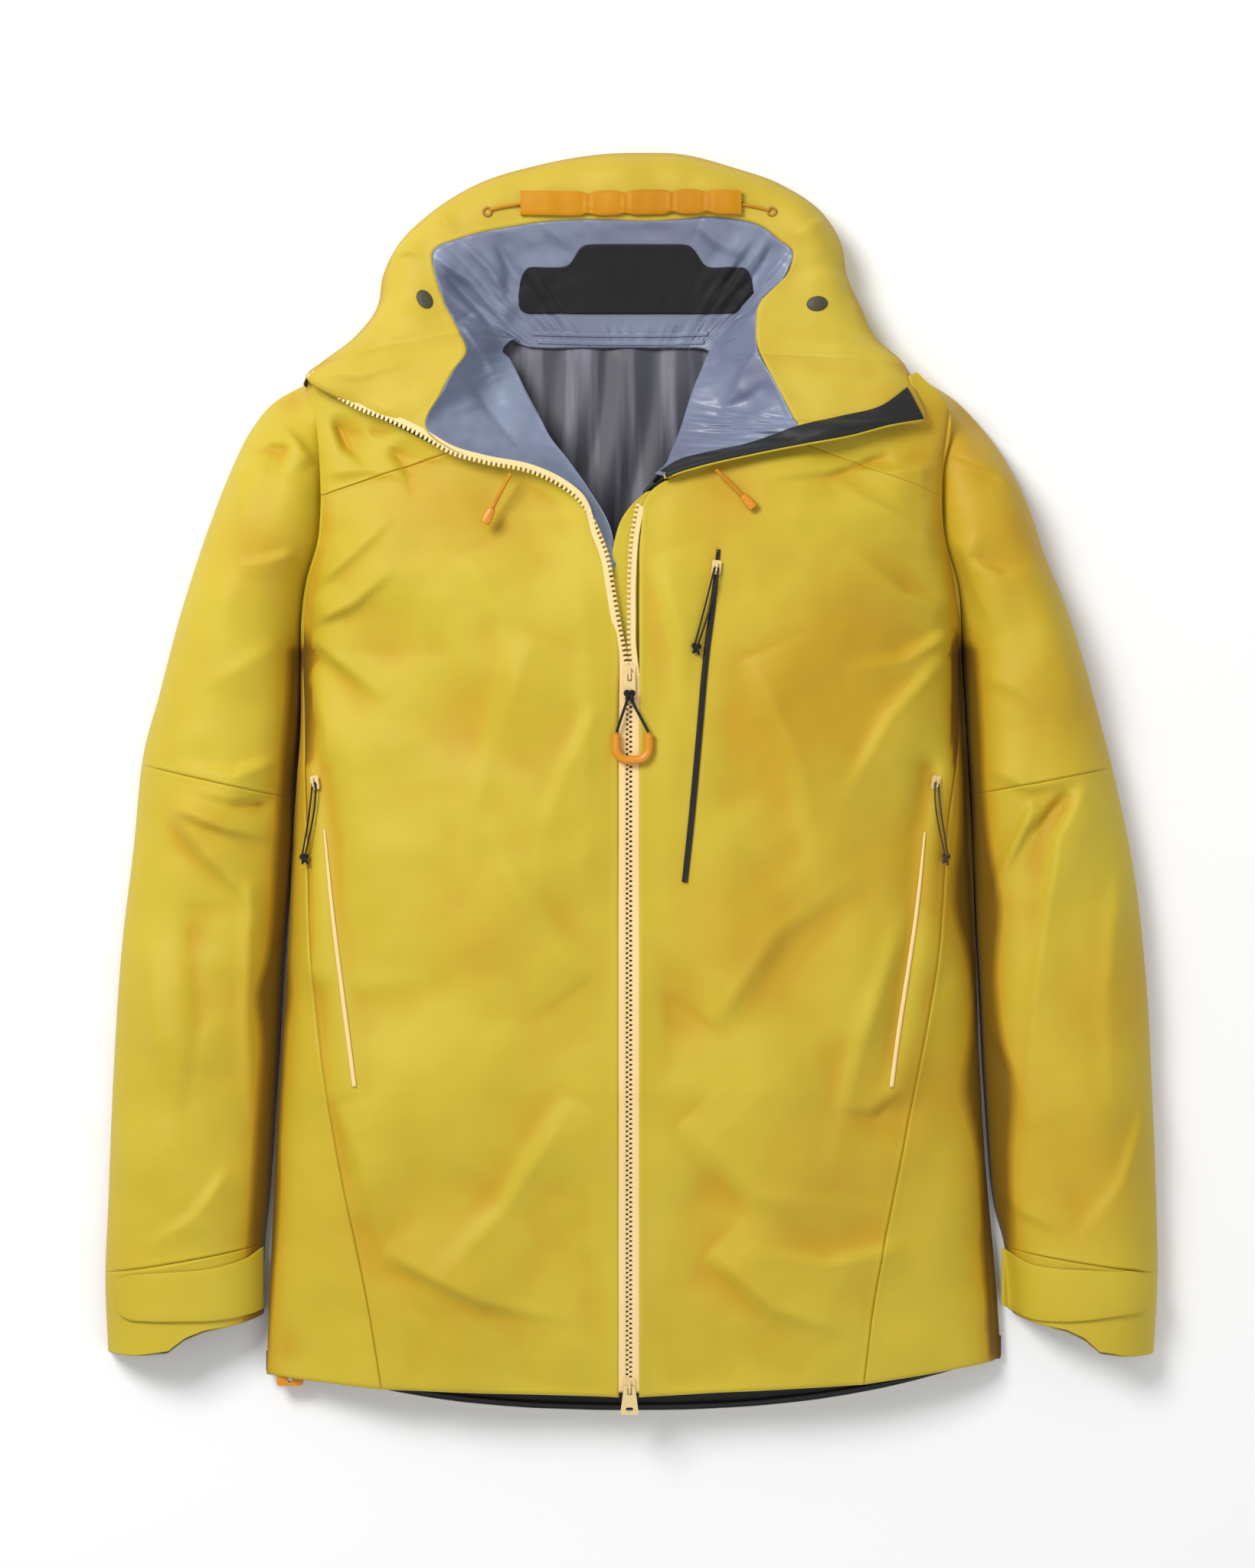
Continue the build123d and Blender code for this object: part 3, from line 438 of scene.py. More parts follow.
GOLDEN_SHADE = [  # broad places of painted golden shade on the cloth: x, y, radius, strength
    (129, 59, 68, 1.1), (100, -115, 60, 1.0), (175, 120, 56, 0.8), (205, -60, 55, 0.8), (150, -290, 74, 0.7),
    (222, -230, 50, 0.7), (70, 205, 44, 0.8), (60, -380, 60, 0.4), (-109, -116, 42, 0.6), (-70, 30, 30, 0.3),
    (-150, 212, 40, 0.7), (-100, 205, 36, 0.7), (-168, -360, 46, 0.4), (-120, -400, 36, 0.3), (-281, 178, 34, 0.8),
    (-275, -160, 26, 0.7), (-320, -30, 28, 0.7), (-232, -330, 50, 0.3), (290, 185, 54, 1.0), (262, -92, 38, 0.9),
    (277, -230, 40, 0.7), (360, -160, 56, 0.8), (345, -290, 66, 0.8), (245, 262, 52, 1.0), (330, 60, 60, 0.8),
]
FAR_SHARES = (0.002, 0.006, 0.0125, 0.02, 0.03)  # extra columns along the zip edge
NEAR_SHARES = (0.989, 0.994, 0.9975)  # extra columns just before the side seam
TO_SEAM = 76
EVEN_SHARES = np.linspace(0, 1, TO_SEAM)[[0, *range(4, TO_SEAM - 1)]]
IN_SHARES = np.array(sorted([*EVEN_SHARES, *FAR_SHARES, *NEAR_SHARES, 1.0]))
OUT_SHARES = np.array([0.006, 0.014, 0.028, 0.06, 0.12, 0.19, 0.27, 0.35, 0.43, 0.51, 0.59, 0.67, 0.75, 0.82, 0.88,
                       0.93, 0.97, 1.0])
SEAM = len(IN_SHARES) - 1  # the side seam's column
UNDER = 8  # columns that turn under from the edge
HEM_TURN = ((16, -5.2), (8, -4.4), (2, -3.4), (-1.0, -1.7))  # rows of the turned hem: along +Y, and down, mm


def body_points(side):
    """Points of one side of the front: from the zip over the seam to the edge, then turned under."""
    keys = BODY_ROWS[side]
    knots = knots_of([(a, c) for a, b, c in keys])
    level = stations(knots[-1], ROW_STEP, [knots[YOKE_KEY]])
    inner, seam, outer = (smooth_rows([row[i] for row in keys], level, knots) for i in range(3))
    flat = np.concatenate([between(inner[:, None], seam[:, None], IN_SHARES[None, :, None]),
                           between(seam[:, None], outer[:, None], OUT_SHARES[None, :, None])], axis=1)
    x, y = flat[..., 0], flat[..., 1]
    points = np.dstack([x, y, dome(x, y)])
    lift = folded(FOLDS[side], x, y) + crumple(points, 120, 9.0, 3 + side) + crumple(points, 44, 1.5, 9 + side)
    edge_fade = np.minimum(1, np.abs(x - outer[:, None, 0]) / 16) * np.minimum(1, (y + 462) / 14 + 0.35)
    from_zip = np.linalg.norm(flat - inner[:, None], axis=-1)
    zip_fade = np.minimum(1, 0.1 + from_zip / 26)
    points[..., 2] += lift * edge_fade * zip_fade
    from_seam = np.linalg.norm(flat - seam[:, None], axis=-1)
    points[..., 2] += groove(from_seam) * np.clip((ARMPIT - y) / 10, 0, 1)
    depth = 1.0 if side == RIGHT else 0.35
    points[..., 2] += groove(level - knots[YOKE_KEY])[:, None] * depth * np.minimum(1, from_zip / 4)
    points[..., 2] += np.interp(from_zip, [0, 0.5, 1.5, 3, 5, 9, 14], [-0.6, 0.7, 1.2, 1.0, 0.5, 0.1, 0])
    for name, (pocket_side, line) in POCKET_LINES.items():
        if pocket_side == side:
            welt = crease(line, x, y, 1.0, 15, fade=False)
            points[..., 2] = between(points[..., 2], POCKETS[name].height(y) - 0.9, welt)
    turn = np.linspace(0, 1, UNDER + 1)[None, 1:, None]
    edge = points[:, -1:, :]
    foot = edge.copy()
    foot[..., 0] -= side * 16
    foot[..., 2] = GROUND
    wrapped = between(edge, foot, turn) + np.sin(np.pi * turn) * np.array([side * 4.0, 0, 0])
    points = np.concatenate([points, wrapped], axis=1)
    hem = np.stack([points[0] + (0, lean, drop) for lean, drop in HEM_TURN])
    hem[..., 2] = np.maximum(hem[..., 2], GROUND)
    return np.concatenate([hem, points]), len(HEM_TURN) + int(np.searchsorted(level, knots[YOKE_KEY] - 0.01))


def finish_piece(piece, body_name, nodes=()):
    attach(piece, body_name)
    if nodes:
        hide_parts(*nodes)
    return piece


def add_body_front(side):
    """The front panel, side panel and yoke of one side."""
    points, yoke_row = body_points(side)
    last, edge = points.shape[0] - 1, points.shape[1] - 1
    pieces = []
    for cloth, panel, rows, columns in (("front_cloth", "front_panel", (0, yoke_row), (0, SEAM)),
                                        ("side_cloth", "side_panel", (0, yoke_row), (SEAM, edge)),
                                        ("yoke_cloth", "yoke", (yoke_row, last), (0, edge))):
        piece = cut_out(f"{cloth}_{SIDES[side]}", points, rows, columns, FACE, DARK, side == RIGHT)
        shade_folds(piece)
        pieces.append(finish_piece(piece, "shell", [f"{panel}_{SIDES[side]}"]))
    return pieces


# ------------------------------------------------------------------ sleeves
# Matched points from the shoulder to the cuff: armhole seam or inner edge, then outer edge.
SLEEVE_ROWS = {
    RIGHT: [((-242.8, 303), (-246, 305.5)), ((-236, 274), (-270, 292)), ((-233, 243), (-289, 269)),
            ((-231.8, 217), (-302, 243)), ((-234.5, 180), (-319, 200)), ((-244.5, 150), (-330, 168)),
            ((-248.5, 116), (-342, 130)), ((-250, 60), (-358, 70)), ((-255, -11), (-372, 15)),
            ((-256, -42), (-378, -45)), ((-262, -120), (-387, -120)), ((-268, -220), (-394, -225)),
            ((-275, -320), (-398, -325)), ((-278, -349), (-400, -371)), ((-279, -403), (-398, -431))],
    LEFT: [((216, 309), (219, 311)), ((233, 292), (248, 293)), ((241.5, 278), (265, 276)), ((241, 262), (280, 257)),
           ((236.5, 240), (294, 233)), ((235, 215), (303, 214)), ((238.5, 180), (318, 170)),
           ((248, 150), (330, 142)), ((252, 116), (343, 104)), ((256, 60), (359, 47)), ((260, -8), (368, 13)),
           ((262, -60), (383, -56)), ((266, -148), (394, -148)), ((271, -241), (399, -241)),
           ((278, -320), (402, -320)), ((286, -352), (403, -371)), ((292, -402), (400, -432))],
}
ELBOW_KEY = {RIGHT: 8, LEFT: 10}
CUFF_KEY = {RIGHT: 13, LEFT: 15}
SLEEVE_FOLDS = {
    RIGHT: [
        ([(-254, 301), (-266, 293), (-284, 280)], -7, 8), ([(-238, 241), (-250, 256), (-264, 271)], 8, 7),
        ([(-254, 250), (-272, 252), (-300, 242)], -8, 10), ([(-298, 248), (-291, 205), (-288, 152)], 7, 13),
        ([(-250, 172), (-270, 166), (-294, 162)], 6, 9), ([(-262, 104), (-290, 86), (-334, 62)], 5, 18),
        ([(-262, 18), (-296, 5), (-345, 13)], 9, 11), ([(-345, -16), (-300, -33), (-256, -43)], 10, 10),
        ([(-268, -14), (-300, -17), (-338, -8)], -6, 8),
        ([(-343, -20), (-318, -52), (-290, -80), (-270, -122)], 9, 11),
        ([(-284, -70), (-288, -170), (-282, -300)], 9, 12), ([(-330, -90), (-322, -180), (-332, -260)], -5, 18),
        ([(-362, -120), (-352, -220), (-358, -320)], 5, 16), ([(-300, -290), (-325, -325), (-362, -350)], 6, 10),
    ],
    LEFT: [
        ([(238, 252), (275, 236), (318, 204)], 8, 9), ([(246, 184), (258, 150), (276, 112)], 9, 9),
        ([(254, 172), (280, 162), (308, 170)], -6, 10), ([(246, 284), (264, 270), (290, 252)], -5, 9),
        ([(262, 84), (292, 72), (334, 40)], 6, 16), ([(268, 12), (300, -2), (350, 6)], 7, 10),
        ([(304, -14), (284, -58), (266, -108)], 12, 9), ([(330, -6), (302, -36), (280, -80)], -7, 8),
        ([(346, 2), (322, -40), (306, -150), (297, -292)], 10, 12), ([(268, -176), (290, -212), (302, -262)], 7, 9),
        ([(372, -60), (360, -160), (366, -260)], 6, 18), ([(394, -236), (372, -300), (338, -346)], 6, 10),
        ([(274, -300), (296, -322), (330, -338)], 6, 9),
    ],
}
CUFF_HEM = [(0, 0), (0.12, -4), (0.35, -10), (0.47, -16), (0.58, -26), (0.75, -28.5), (1, -29)]
OVER, BELOW = 52, 14  # columns over a sleeve's upper side, and under it
CUFF_TURN = ((0.995, -1.0), (0.975, -0.6), (0.96, 3), (0.95, 14))  # the turned cuff: size, and how far back, mm


def sleeve_points(side):
    """Closed rings of a sleeve from the shoulder to the cuff's end; the first OVER + 1 are its upper side."""
    keys = SLEEVE_ROWS[side]
    knots = knots_of(keys)
    elbow, cuff = knots[ELBOW_KEY[side]], knots[CUFF_KEY[side]]
    level = stations(knots[-1], ROW_STEP, [elbow, cuff])
    inner, outer = (smooth_rows([row[i] for row in keys], level, knots) for i in range(2))
    share = 0.5 - 0.5 * np.cos(np.pi * np.linspace(0, 1, OVER + 1))
    share = 0.6 * share + 0.4 * np.linspace(0, 1, OVER + 1)
    flat = between(inner[:, None], outer[:, None], share[None, :, None])
    x, y = flat[..., 0], flat[..., 1]
    arch = sleeve_height(y) * np.maximum(0.0, 1 - np.abs(2 * share - 1) ** 2.3) ** 0.5
    arch = arch * np.minimum(1, np.abs(outer[:, 0] - inner[:, 0])[:, None] / 70)
    rise = np.where(inner[:, 1] > ARMPIT - 20, side_rise(inner[:, 1]) - 8, 0)[:, None] * (1 - share)
    points = np.dstack([x, y, 3 + np.hypot(arch, rise)])
    lift = folded(SLEEVE_FOLDS[side], x, y)
    lift = lift + crumple(points, 90, 7.0, 13 + side) + crumple(points, 36, 1.2, 19 + side)
    calm = np.interp(level, [0, 30, cuff - 30, cuff, knots[-1]], [0, 1, 1, 0.35, 0.2])
    points[..., 2] += (lift - 1.5) * (4 * share * (1 - share)) ** 0.6 * calm[:, None]
    seams = groove(level - elbow) * 1.1 + groove(level - cuff, 1.3)
    points[..., 2] += seams[:, None] * np.minimum(1, 8 * share * (1 - share))
    drop = np.interp(share, *zip(*CUFF_HEM)) + 29 * share
    down = np.clip((level - cuff) / (knots[-1] - cuff), 0, 1)
    points[..., 1] += drop[None] * down[:, None]
    back = np.linspace(1, 0, BELOW + 2)[None, 1:-1, None]
    under = between(points[:, :1], points[:, -1:], back)
    under[..., 2] = between(under[..., 2], GROUND, 1 - (2 * back[..., 0] - 1) ** 6)
    points = np.concatenate([points, under], axis=1)
    ring = points[-1]
    centre = ring.mean(axis=0)
    ends = [centre + (ring - centre) * (shrink, 1, shrink) + (0, back_by, 0) for shrink, back_by in CUFF_TURN]
    rows = [int(np.searchsorted(level, seam - 0.01)) for seam in (elbow, cuff)]
    return np.concatenate([points, np.array(ends)]), rows


def add_sleeve(side):
    word = SIDES[side]
    points, (elbow, cuff) = sleeve_points(side)
    pieces = []
    for name, first, last in (("upper_sleeve", 0, elbow), ("forearm", elbow, cuff),
                              ("cuff", cuff, points.shape[0] - 1)):
        piece = grid_object(f"{name}_cloth_{word}", points[first:last + 1], FACE, side == LEFT, closed=True)
        thicken(piece, CLOTH, DARK)
        shade_folds(piece)
        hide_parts(f"{name}_{word}")
        pieces.append(piece)
    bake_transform(pieces[0])
    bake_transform(pieces[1])
    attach(pieces[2], f"forearm_{word}")
    return pieces


# ------------------------------------------------------------------ hood and collar, one open bowl
# Matched points round the opening, from the zip up the wearer's right flap, round the hood and down the
# left flap: outer edge, edge of the lining, inner edge, then their three heights.
BOWL = [
    ((-14, 155), (-13, 157), (-9, 166), 95, 96, 90), ((-21.5, 183), (-20.5, 185), (-15, 193), 95, 96, 86),
    ((-40, 213), (-39, 215), (-31, 221), 96, 97, 80), ((-71, 231), (-70, 233), (-46, 243), 95, 96, 66),
    ((-108, 239), (-107, 241), (-60, 262), 93, 95, 52), ((-132, 246), (-131, 248), (-68, 278), 90, 93, 42),
    ((-156, 260), (-152, 266), (-77, 295), 86, 89, 34), ((-181, 272), (-141, 290), (-85, 312), 80, 84, 27),
    ((-205, 282), (-133, 306), (-90, 322), 73, 79, 22), ((-242, 307), (-122, 327), (-96, 331), 62, 70, 18),
    ((-231, 318), (-127, 338), (-92, 336), 50, 64, 15), ((-207, 339), (-134, 352), (-86, 339), 34, 58, 13),
    ((-191, 362), (-140, 364), (-83, 336), 27, 53, 9), ((-187, 385), (-147, 386), (-76, 333), 26, 52, 8),
    ((-176, 408), (-148, 401), (-64, 332), 26, 51, 7), ((-152, 432), (-128, 411), (-50, 332), 26, 50, 7),
    ((-115, 455), (-93, 419), (-36, 332), 26, 49, 7), ((-70, 469), (-56, 424), (-21, 332), 26, 49, 7),
    ((-21, 477.5), (-18, 425), (-8, 332), 26, 49, 7), ((10, 478.5), (10, 424), (3, 332), 26, 49, 7),
    ((39, 477.5), (36, 425), (13, 332), 26, 49, 7), ((80, 467), (64, 427), (26, 332), 26, 49, 7),
    ((114, 455), (94, 422), (38, 332), 26, 49, 7), ((147, 432), (112, 410), (46, 332), 26, 50, 7),
    ((161, 408), (123, 399), (52, 332), 26, 51, 8), ((165, 385), (117, 382), (57, 331), 26, 51, 9),
    ((175, 362), (98, 362), (60, 329), 29, 54, 11), ((185, 339), (95, 342), (58, 325), 36, 58, 15),
    ((207, 316), (98, 322), (54, 314), 47, 64, 19), ((215, 296), (108, 302), (49, 302), 60, 71, 26),
    ((221, 271.5), (122, 274), (45, 290), 68, 78, 32), ((199, 267.5), (125, 270), (42, 280), 76, 84, 38),
    ((162, 258), (124, 262), (39, 270), 85, 89, 45), ((125, 250.5), (122, 254), (35, 259), 92, 93, 54),
    ((91, 243.5), (89, 247), (31, 249), 95, 96, 64), ((49, 233.5), (47, 237), (26, 238), 97, 98, 76),
    ((26, 226), (25, 229), (19, 231), 97, 98, 86),
]
BAND, DEEP, FALL = 28, 46, 8  # columns across the facing band, down the lining, and in the turn below it
HOOD_FIRST, HOOD_LAST = 10, 28  # the hood spans these matched points
BOWL_FOLDS = [
    ([(-150, 398), (-120, 380), (-84, 338)], 10, 8), ([(-139, 384), (-112, 358), (-96, 334)], -8, 7),
    ([(-126, 408), (-104, 388), (-90, 350)], 9, 7), ([(-100, 415), (-93, 392), (-92, 362)], -5, 6),
    ([(-128, 348), (-110, 326), (-98, 300)], 11, 8), ([(-124, 310), (-104, 280), (-80, 250)], -7, 8),
    ([(-66, 422), (-52, 410), (-40, 404)], 5, 6), ([(50, 422), (66, 408), (92, 398)], 6, 7),
    ([(118, 398), (104, 382), (92, 360)], 9, 7), ([(108, 408), (100, 392), (84, 372)], -6, 6),
    ([(96, 352), (82, 350), (64, 336)], 8, 6), ([(98, 330), (84, 306), (70, 275)], 9, 7),
    ([(106, 300), (88, 290), (56, 276)], -7, 7), ([(120, 266), (95, 262), (60, 258)], 5, 6),
    ([(112, 284), (92, 276), (64, 272)], 5, 5),
]
BAND_FOLDS = [
    ([(-238, 310), (-200, 305), (-150, 322)], 4, 9), ([(-225, 322), (-190, 335), (-150, 340)], 5, 9),
    ([(-200, 345), (-180, 350), (-145, 352)], 4, 8), ([(-182, 400), (-165, 402), (-150, 396)], 5, 7),
    ([(-150, 430), (-140, 424), (-130, 414)], 4, 6), ([(170, 380), (150, 384), (125, 380)], 4, 8),
    ([(205, 318), (170, 330), (110, 330)], 5, 10), ([(212, 300), (180, 300), (120, 306)], 4, 10),
    ([(150, 428), (138, 420), (122, 410)], 4, 6),
]


def bowl_points():
    """Rows round the opening; across each row: outer edge, facing band, lining, then a turn down."""
    keys = [(*o, *f, *i, *z) for o, f, i, *z in BOWL]
    knots = knots_of([(o,) for o, f, i, *z in BOWL], 4)
    neck = [knots[HOOD_FIRST], knots[HOOD_LAST]]
    level = stations(knots[-1], 3.4, neck)
    rows = smooth_rows(keys, level, knots)
    outer, facing, inner = (np.column_stack([rows[:, 2 * i:2 * i + 2], rows[:, 6 + i]]) for i in range(3))
    s = np.linspace(0, 1, BAND + 1)
    s = np.array(sorted([*s[[0, *range(2, BAND - 1)]], 0.015, 0.04, 0.965, 0.99, 1.0]))[None, :, None]
    band = between(outer[:, None], facing[:, None], s)
    wide = np.linalg.norm(facing[:, :2] - outer[:, :2], axis=1)[:, None]
    low = np.clip((60 - rows[:, 6]) / 35, 0, 1)[:, None]
    band[..., 2] += np.sin(np.pi * s[..., 0] ** 0.62) * np.minimum(wide * 0.32, 17) * (0.35 + 0.65 * low)
    folds = folded(BAND_FOLDS, band[..., 0], band[..., 1])
    calm = np.sin(np.pi * s[..., 0]) ** 0.6 * np.minimum(1, wide / 30)
    band[..., 2] += (folds + crumple(band, 60, 5.0, 41) + crumple(band, 24, 0.7, 43)) * calm
    band[..., 2] += groove((1 - s[..., 0]) * wide, 0.8) * np.minimum(1, wide / 15)
    band[..., 2] += groove(s[..., 0] * wide - 6.5, 0.5) * np.clip((wide - 30) / 10, 0, 1)
    t = np.linspace(0, 1, DEEP + 1)[None, 1:, None]
    lining = between(facing[:, None], inner[:, None], t)
    lining[..., 2] = inner[:, None, 2] + (facing[:, None, 2] - inner[:, None, 2]) * (1 - t[..., 0]) ** 1.35
    x, y = lining[..., 0], lining[..., 1]
    long = np.dstack([np.repeat(level[:, None] / 17, DEEP, 1), np.repeat(t[..., 0] * 1.8, len(level), 0), 0 * x])
    lift = folded(BOWL_FOLDS, x, y) + crumple(long, 1, 3.4, 31) + crumple(lining, 34, 3.0, 37, 3)
    patch = np.clip((40 - np.abs(x - 5)) / 20 + 1, 0, 1) * np.clip((y - 345) / 8, 0, 1) * np.clip((418 - y) / 8, 0, 1)
    wide_in = np.linalg.norm(inner[:, :2] - facing[:, :2], axis=1)[:, None]
    calm = np.sin(np.pi * t[..., 0] ** 0.8) ** 0.5 * np.minimum(1, wide_in / 50)
    lining[..., 2] += lift * calm * (1 - 0.8 * patch)
    away = outer[:, None] - inner[:, None]
    away = away / np.linalg.norm(away[..., :2], axis=-1, keepdims=True)
    end = inner[:, None] + away * 22
    end[..., 2] = 4.0
    t = np.linspace(0, 1, FALL + 1)[None, 1:, None]
    fall = between(inner[:, None], end, t)
    fall[..., 2] = inner[:, None, 2] * (1 - t[..., 0]) ** 2 + 4.0 * (1 - (1 - t[..., 0]) ** 2)
    first, last = (int(np.searchsorted(level, seam - 0.01)) for seam in neck)
    back = [int(np.searchsorted(level, knots[key] - 0.01)) for key in (HOOD_FIRST - 1, HOOD_LAST + 1)]
    return np.concatenate([band, lining, fall], axis=1), outer, first, last, back, band.shape[1] - 1


bowl, bowl_rim, hood_first, hood_last, back_rows, BAND_COLUMN = bowl_points()


def bowl_piece(name, rows, nodes):
    """One cloth of the bowl: the lining, or the facing band outside it, between two rows."""
    if "lining" in name:
        piece = cut_out(name, bowl, rows, (BAND_COLUMN, bowl.shape[1] - 1), LINING, LINING)
    else:
        piece = cut_out(name, bowl, rows, (0, BAND_COLUMN), FACE_BAND, DARK)
        shade_folds(piece, scale=8)
    if nodes:
        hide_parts(*nodes)
    if name.startswith("hood"):
        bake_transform(piece)
    else:
        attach(piece, "shell")
    return piece


right_rows, hood_rows, left_rows = (0, hood_first), (hood_first, hood_last), (hood_last, bowl.shape[0] - 1)
bowl_pieces = [bowl_piece(name, rows, nodes) for name, rows, nodes in (
    ("collar_lining_right", right_rows, ["collar_right"]), ("collar_band_right", right_rows, []),
    ("hood_lining", hood_rows, ["hood_side_left", "hood_side_right"]), ("hood_band", hood_rows, ["hood_brim"]),
    ("collar_lining_left", left_rows, ["collar_left"]), ("collar_band_left", left_rows, []))]


def add_hood_outside():
    """The outside of the hood: from its rim down to the surface and across under it."""
    rim = bowl_rim[back_rows[0]:back_rows[1] + 1]
    centre = np.array([3.0, 372.0, 0.0])
    turn = np.linspace(0, 1, 13)[None, :, None]
    inward = centre - rim
    inward[:, 2] = 0
    inward = inward / np.linalg.norm(inward, axis=1, keepdims=True)
    count = len(rim)
    from_end = np.minimum(np.arange(count), np.arange(count)[::-1])[:, None]
    foot = rim + inward * (1 + 11 * np.minimum(1, from_end / 14))
    foot[:, 2] = GROUND + 0.1
    side = between(rim[:, None], foot[:, None], turn)
    side -= (np.sin(np.pi * turn) * 3.0) * inward[:, None]
    under = np.linspace(0, 1, 14)[None, 1:, None]
    target = np.column_stack([rim[:, 0] * 0.42, np.full(count, 336.0), np.full(count, GROUND + 0.1)])
    floor = between(foot[:, None], target[:, None], under)
    floor[..., 2] = GROUND + 0.1
    points = np.concatenate([side, floor], axis=1)
    ends = [(end + [np.sign(end[0, 0]) * 2.5, -6, -0.3])[None] for end in (points[0], points[-1])]
    points = np.concatenate([ends[0], points, ends[1]])  # each end runs on a little way, into the shoulder
    piece = grid_object("hood_outside", points, FACE, flip=True)
    thicken(piece, inner=DARK)
    shade_folds(piece, scale=30)
    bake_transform(piece)
    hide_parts("hood_back_panel")


add_hood_outside()
body = {side: add_body_front(side) for side in SIDES}
sleeves = {side: add_sleeve(side) for side in SIDES}


# ------------------------------------------------------------------ back of the body
BACK_TOP, HEM_FACING = 342, 34  # the top of the back, and the depth of the band inside its hem, mm
BACK_HALF = table([(-440, 270), (-250, 262), (-50, 250), (60, 248), (118, 249), (190, 238), (246, 235), (290, 234),
                   (306, 214), (324, 158), (BACK_TOP, 102)])


def back_height(x, y):
    """Height of the inside of the back, with the pleats that hang from the neck seam."""
    pleat = np.abs(np.sin(x / 12.0 + 1.6 * np.sin(y / 70))) ** 1.5 * np.exp(-((x + 15) / 60) ** 2)
    rough = 0.9 * np.sin(x / 23 + y / 90) + 0.6 * np.sin(x / 9 + 1.3 + y / 47)
    return 3.4 + 4.5 * pleat * np.clip((y - 90) / 120, 0, 1) * np.clip((345 - y) / 20, 0, 1) + rough * 0.5


def add_back():
    """The back panel on the surface with its drop hem; its upper face is the dark lining."""
    share = np.linspace(-1, 1, 150)
    hem = -478 + 38 * np.abs(share) ** 2.4
    y = between(hem[None], BACK_TOP, np.linspace(0, 1, 200)[:, None])
    x = share[None] * BACK_HALF(y[:, :1])
    piece = thicken(grid_object("back_cloth", np.dstack([x, y, back_height(x, y)]), DARK), inner=FACE)
    finish_piece(piece, "shell", ["back_panel"])
    level = np.linspace(0, 1, 14)[:, None]
    y = between(hem[None], hem[None] + HEM_FACING, level)
    x = share[None] * BACK_HALF(y)
    z = back_height(x, y) + 0.9 + groove(level * HEM_FACING - 30, 0.5)
    facing = thicken(grid_object("hem_band", np.dstack([x, y + 0.6, z]), BLACK))
    finish_piece(facing, "shell", ["hem_facing"])
    return piece


back_cloth = add_back()


def caster(*pieces):
    """A function that drops points onto the topmost of some pieces, as they are without thickness."""
    vertices, faces = [], []
    for piece in pieces:
        start = len(vertices)
        vertices += [v.co.copy() for v in piece.data.vertices]
        faces += [[start + i for i in p.vertices] for p in piece.data.polygons]
    tree = BVHTree.FromPolygons(vertices, faces)

    def drop(x, y):
        """Heights at arrays of x and y; a point that misses takes the height of the one before it."""
        x, y = np.atleast_1d(x), np.atleast_1d(y)
        out, last = [], None
        for px, py in zip(x.ravel(), y.ravel()):
            hit = tree.ray_cast(Vector((px * MM, py * MM, 0.3)), Vector((0, 0, -1)))[0]
            last = hit.z / MM if hit else last
            out.append(last)
        found = next(v for v in out if v is not None)
        return np.array([found if v is None else v for v in out]).reshape(x.shape)

    return drop


front_top = caster(*[piece for side in SIDES for piece in body[side]])
bowl_top = caster(*bowl_pieces)
sleeve_top = caster(*[piece for side in SIDES for piece in sleeves[side]])


# ------------------------------------------------------------------ trims
def ribbon(name, path, width, mat, drop=None, lift=0.5, thickness=0.6, crown=0.25, across=6, step=2.0):
    """A flat strip along a path of (x, y) or (x, y, z) points; width is a number or one for each point."""
    path = np.array(path, float)
    if np.ndim(width) == 0:
        width = [width] * len(path)
    rows = np.column_stack([path, width])
    length = np.linalg.norm(np.diff(path[:, :2], axis=0), axis=1).sum()
    rows = smooth_rows(rows, max(4, int(length / step)))
    ahead = np.gradient(rows[:, :2], axis=0)
    ahead /= np.linalg.norm(ahead, axis=1, keepdims=True)
    aside = np.column_stack([ahead[:, 1], -ahead[:, 0]])
    s = np.linspace(-0.5, 0.5, across + 1)
    flat = rows[:, None, :2] + aside[:, None] * s[None, :, None] * rows[:, None, -1:]
    if drop is None:
        z = np.repeat(rows[:, None, 2], across + 1, 1) + lift
    else:
        z = drop(flat[..., 0], flat[..., 1]) + lift
    z = z + crown * (1 - (2 * s[None]) ** 2)
    return thicken(grid_object(name, np.dstack([flat, z]), mat, flip=True), thickness)


def tubes(name, paths, radius, mat, sides=10):
    """Round tubes along paths of points; each path is (points, closed)."""
    vertices, faces = [], []
    for points, closed in paths:
        points = np.array(points, float)
        ahead = np.roll(points, -1, 0) - np.roll(points, 1, 0) if closed else np.gradient(points, axis=0)
        ahead /= np.linalg.norm(ahead, axis=1, keepdims=True)
        aside = np.cross(ahead[0], (0.3, 0.2, 1.0))
        start = len(vertices)
        for p, a in zip(points, ahead):
            aside = aside - a * np.dot(aside, a)
            aside /= np.linalg.norm(aside)
            other = np.cross(a, aside)
            for turn in 2 * np.pi * np.arange(sides) / sides:
                vertices.append(Vector(p + radius * (aside * np.cos(turn) + other * np.sin(turn))) * MM)
        rings = [start + r * sides for r in range(len(points))]
        pairs = list(zip(rings, rings[1:])) + ([(rings[-1], rings[0])] if closed else [])
        for a, b in pairs:
            faces += [(a + k, a + (k + 1) % sides, b + (k + 1) % sides, b + k) for k in range(sides)]
        if not closed:
            faces += [tuple(rings[0] + k for k in reversed(range(sides))), tuple(rings[-1] + k for k in range(sides))]
    return mesh_object(name, vertices, faces, mat)


